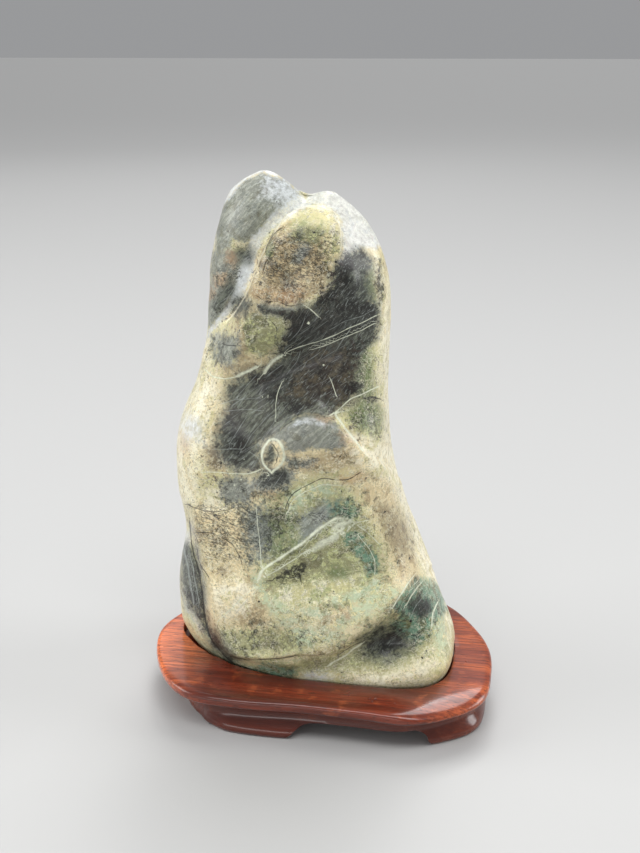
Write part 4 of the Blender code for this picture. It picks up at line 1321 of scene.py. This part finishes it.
def pale_patches(sh, base):
    layers = (
        # kind, its colours, how much of it covers, and how soft its edge is
        ("sand", sh.tones(SAND, CREAM, TAN), 0.85, 0.25),
        ("tan", sh.tones(TAN, SAND, KHAKI), 0.85, 0.2),
        ("olive", sh.tones(OLIVE, LIME, MOSS), 0.85, 0.25),
        ("straw", sh.tones(STRAW, WHITE, LIME), 0.8, 0.3),
        ("green", sh.tones(GREEN, OLIVE, MOSS), 0.8, 0.25),
        ("mint", sh.tones(MINT, STRAW, OLIVE), 0.75, 0.3),
        # partly pale stone and partly painted highlight on the lit edges and the bottom lip
        ("bright", sh.tones(WHITE, CREAM, STRAW), 0.85, 0.3),
        ("grey", sh.tones(GREY, ASH, LEAD, by=sh.fibres), 0.9, 0.25),
        ("orange", sh.tones(OCHRE, PEACH, TAN), 0.6, 0.3),
        # painted sheen and highlights, laid over the stone's colours
        ("painted_sheen", sh.tones(PAINTED_SHEEN_WHITE, PAINTED_SHEEN_WHITE, PAINTED_SHEEN_GREY), 0.76, 0.35),
    )
    return lay_over(sh, base, layers)


def dark_patches(sh, base):
    layers = (
        ("teal", sh.tones(TEAL, MOSS, PINE), 0.88, 0.25),
        # partly dark stone and partly painted shade in the lower right hollow
        ("slate_and_shade", sh.tones(SLATE, LEAD, CHARCOAL, by=sh.fibres), 0.93, 0.22),
        # partly dark stone and partly painted shade in the lower right hollow
        ("dark", sh.tones(CHARCOAL, SLATE, INK, by=sh.fibres), 0.9, 0.25),
        ("brown", sh.tones(BROWN, KHAKI, INK, width=0.08), 0.5, 0.25),
        ("black", INK, 0.85, 0.2),
    )
    return lay_over(sh, base, layers)


def dark_threads(sh, base, plain):
    """A broken network, mossy threads and fine scribbles, all dark."""
    broken = sh.step(sh.blotch, 0.42, 0.56)
    walls = sh.step(sh.cells(2.4, "DISTANCE_TO_EDGE", at=sh.warped(1.6, 3.0)), 0.02, 0.12, 1.0, 0.0)
    net = sh.times(walls, sh.zone("net"), broken, 0.8)
    threads = sh.noise(1.0, detail=5, rough=0.7, at=sh.stretched((0.26, 0.6, 0.8), (0.0, -14.0, 0.0)))
    moss = sh.times(sh.thin_lines(threads, 0.01, 0.05), sh.zone("moss"), 0.85)
    here = sh.step(sh.patchy, 0.44, 0.56)
    etched = sh.times(sh.scribbles(1.5, 0.03, (10.0, 25.0, 0.0)), here, plain, 0.5)
    return sh.mix(sh.most(net, moss, etched), base, CHARCOAL)


def pale_web(sh, base, clear):
    """Fine pale scribbles, here and there."""
    here = sh.step(sh.cloud, 0.46, 0.56)
    return sh.mix(sh.times(sh.scribbles(1.8, 0.03, (40.0, 0.0, 30.0)), here, clear, 0.5), base, WHITE)


def peppering(sh, plain):
    """Brown grains everywhere, thicker where they are drawn."""
    pepper = sh.step(sh.grain, 0.55, 0.59)
    drifts = sh.step(sh.noise(12.0, detail=3), 0.42, 0.58, 0.05, 0.3)
    return sh.times(pepper, plain, sh.add(sh.times(sh.zone("specks"), 0.36), drifts))


def grains_and_spots(sh, base, peppered, clear):
    """Brown and pale grains, round black dots, and the spots that are drawn."""
    base = sh.mix(peppered, base, BROWN)
    base = sh.mix(sh.times(sh.step(sh.dust, 0.56, 0.6), clear, 0.32), base, CHALK)
    dots = sh.times(sh.step(sh.cells(4.2), 0.06, 0.11, 1.0, 0.0), sh.step(sh.cloud, 0.46, 0.56))
    base = sh.mix(sh.times(dots, 0.8), base, INK)
    base = sh.mix(sh.step(sh.field("black_spots"), 0.4, 0.6), base, INK)
    return sh.mix(sh.step(sh.field("bright_spots"), 0.4, 0.6), base, CHALK)


def fine_scratches(sh, base, murk):
    """Fine pale scratches in the dark parts, running two ways."""
    hairs = []
    for turn, width in ((58.0, 0.42), (36.0, 0.36)):
        at = sh.stretched((0.05, 1.0, 1.0 / width), (0.0, turn, 0.0))
        hairs.append(sh.step(sh.noise(1.0, detail=2, rough=0.6, at=at), 0.6, 0.7))
    return sh.mix(sh.times(sh.most(*hairs), sh.step(murk, 0.5, 0.8), 0.38), base, SCRATCH)


def drawn_lines(sh, base, crack_and_crease_shade):
    # a painted highlight along the lobe's lit edge
    base = sh.mix(sh.times(sh.line("rim", 1.0, 6.0), 0.5), base, WHITE)
    base = sh.mix(sh.times(sh.line("scratch", 0.9, 3.0), 0.5), base, SCRATCH)
    base = sh.mix(sh.times(sh.line("pale", 0.9, 3.5), 0.92), base, CHALK)
    # real cracks, and painted shade along the creases at the foot of the belly and beside the flap
    return sh.mix(sh.times(crack_and_crease_shade, 0.85), base, INK)


def stone_material():
    sh = StoneShader()
    deep = sh.most(sh.field("slate_and_shade"), sh.field("dark"))
    murk = sh.most(deep, sh.field("grey"))
    clear = sh.step(murk, 0.3, 0.7, 1.0, 0.08)
    # fewer grains and scribbles where the painted sheen lies
    plain = sh.step(sh.field("painted_sheen"), 0.3, 0.6, 1.0, 0.25)
    peppered = peppering(sh, plain)
    crack_and_crease_shade = sh.line("crack_and_crease_shade", 0.9, 5.0)

    base = pale_patches(sh, ground(sh))
    greying = sh.step(deep, 0.05, 0.5, 0.0, 0.58)  # the stone greys softly towards its dark parts
    base = dark_patches(sh, sh.mix(greying, base, LEAD))
    base = pale_web(sh, dark_threads(sh, base, plain), clear)
    base = grains_and_spots(sh, base, peppered, clear)
    base = fine_scratches(sh, base, murk)
    base = drawn_lines(sh, base, crack_and_crease_shade)
    base = sh.mix(1.0, base, sh.step(sh.grain, 0.36, 0.64, 0.76, 1.14), "MULTIPLY")
    height = sh.add(
        sh.times(sh.grain, 0.35),
        sh.times(sh.patchy, 0.4),
        sh.times(crack_and_crease_shade, -0.8),
        sh.times(peppered, -0.4),
    )
    sh.link(base, "Base Color")
    sh.link(sh.step(sh.patchy, 0.3, 0.7, 0.3, 0.46), "Roughness")
    sh.bump(height, 0.3, 0.6)
    sh.set(Coat_Weight=0.18, Coat_Roughness=0.14, Specular_IOR_Level=0.3)
    return sh.material


# Where the wood turns orange towards the stand's ends, partly its own orange bands and partly painted
# sheen, and where painted shade darkens it under the board, in metres.
LEFT_END = (-0.062, -0.036)
RIGHT_END = (0.04, 0.062)
UNDER_BOARD = (0.0125, 0.014)


def wood_material():
    sh = Shader("lacquered_rosewood")
    along = sh.stretched((0.05, 1.0, 1.0))
    fibres = sh.noise(1.0, detail=5, rough=0.6, at=along)
    bands = sh.noise(6.0, detail=4, rough=0.55, at=along)
    pores = sh.step(sh.noise(0.45, detail=2, rough=0.5, at=sh.stretched((0.1, 1.0, 1.0))), 0.6, 0.68)
    stains = sh.noise(9.0, detail=4, rough=0.6)
    x, _, z = sh.axes()
    # towards the ends: partly the wood's orange bands and partly painted sheen
    ends = sh.most(sh.step(x, *LEFT_END, 1.0, 0.0), sh.step(x, *RIGHT_END, 0.0, 0.45))
    banded = sh.step(bands, 0.4, 0.6)
    brown = sh.mix(banded, WOOD, WOOD_DARK)
    # partly the wood's orange bands and partly painted sheen, towards the ends
    base = sh.mix(sh.times(ends, 0.9), brown, sh.mix(banded, WOOD_ORANGE_AND_END_SHEEN, WOOD_RED_AND_END_SHEEN))
    base = sh.mix(sh.times(sh.step(stains, 0.56, 0.66), 0.22), base, WOOD_ORANGE_AND_END_SHEEN)
    base = sh.mix(sh.step(fibres, 0.36, 0.66, 0.0, 0.7), base, WOOD_DARK)
    base = sh.mix(sh.times(pores, 0.7), base, WOOD_PORE)
    # painted shade in the cove under the board
    base = sh.mix(sh.step(z, *UNDER_BOARD, 0.75, 0.0), base, WOOD_UNDER_BOARD_SHADE)
    wavy = sh.noise(5.0, detail=2, rough=0.5)
    sh.link(base, "Base Color")
    sh.link(sh.step(bands, 0.3, 0.7, 0.24, 0.36), "Roughness")
    sh.bump(sh.add(sh.times(fibres, 0.35), sh.times(pores, -0.4), sh.times(wavy, 1.4)), 0.14, 0.6)
    sh.set(Specular_IOR_Level=0.15, Coat_Weight=0.8, Coat_Roughness=0.17, Coat_IOR=1.5)
    return sh.material


# ---- the set ------------------------------------------------------------------------------------------
FLOOR_REACH = 20.0


def make_floor():
    mesh = bmesh.new()
    bmesh.ops.create_grid(mesh, x_segments=1, y_segments=1, size=FLOOR_REACH)
    data = bpy.data.meshes.new("floor")
    mesh.to_mesh(data)
    mesh.free()
    floor = bpy.data.objects.new("floor", data)
    bpy.context.scene.collection.objects.link(floor)
    sh = Shader("pale_floor")
    sh.set(Base_Color=colour(184, 184, 183), Roughness=0.6)
    data.materials.append(sh.material)


SUN_POWER = 1.4
SUN_ANGLE = math.radians(34.0)  # a wide sun, for soft shadows
SUN_DIRECTION = (0.02, 0.62, 1.0)
LIGHT_AIM = (0.0, 0.0, 0.09)  # the middle of the object
# Each area light: its name, its place and its two sides in metres, and its power in watts.
AREA_LIGHTS = (
    ("left_light", (-1.3, -0.2, 0.7), (0.8, 1.0), 10.0),
    ("right_light", (1.25, 0.25, 0.6), (0.5, 0.9), 9.0),
    ("top_light", (0.1, -0.6, 1.5), (1.4, 0.45), 12.0),
    ("low_light", (-0.5, -1.5, 0.32), (1.6, 0.22), 5.0),
    ("back_light", (-0.8, 1.7, 1.05), (1.2, 0.6), 2.4),
    ("corner_light", (-0.1, 1.7, 1.85), (0.5, 0.4), 6.0),
)
AIR_COLOUR = (0.88, 0.89, 0.91, 1.0)
AIR_STRENGTH = 0.36


def aimed_light(data, towards):
    """A light that shines from the side that the direction points to."""
    light = bpy.data.objects.new(data.name, data)
    light.rotation_euler = Vector(towards).to_track_quat("Z", "Y").to_euler()
    bpy.context.scene.collection.objects.link(light)
    return light


def make_lights():
    sun = bpy.data.lights.new("high_light", "SUN")
    sun.energy = SUN_POWER
    sun.angle = SUN_ANGLE
    aimed_light(sun, SUN_DIRECTION)
    for name, place, sides, power in AREA_LIGHTS:
        area = bpy.data.lights.new(name, "AREA")
        area.shape = "RECTANGLE"
        area.size, area.size_y = sides
        area.energy = power
        light = aimed_light(area, Vector(place) - Vector(LIGHT_AIM))
        light.location = place
    world = bpy.data.worlds.new("studio")
    world.use_nodes = True
    backdrop = world.node_tree.nodes["Background"]
    backdrop.inputs["Color"].default_value = AIR_COLOUR
    backdrop.inputs["Strength"].default_value = AIR_STRENGTH
    bpy.context.scene.world = world
    bpy.context.scene.view_settings.view_transform = "Standard"


def main():
    noise.seed_set(NOISE_SEED)
    make_camera()
    make_floor()
    make_lights()
    stone = refined_stone()
    carve_stone(stone)
    mark_stone(stone)
    stone.data.shade_smooth()
    stone.data.materials.append(stone_material())
    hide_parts("stone")
    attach(stone, "root")

    stand = carved_stand(stone)
    stand.data.materials.append(wood_material())
    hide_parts("stand")
    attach(stand, "root")


main()
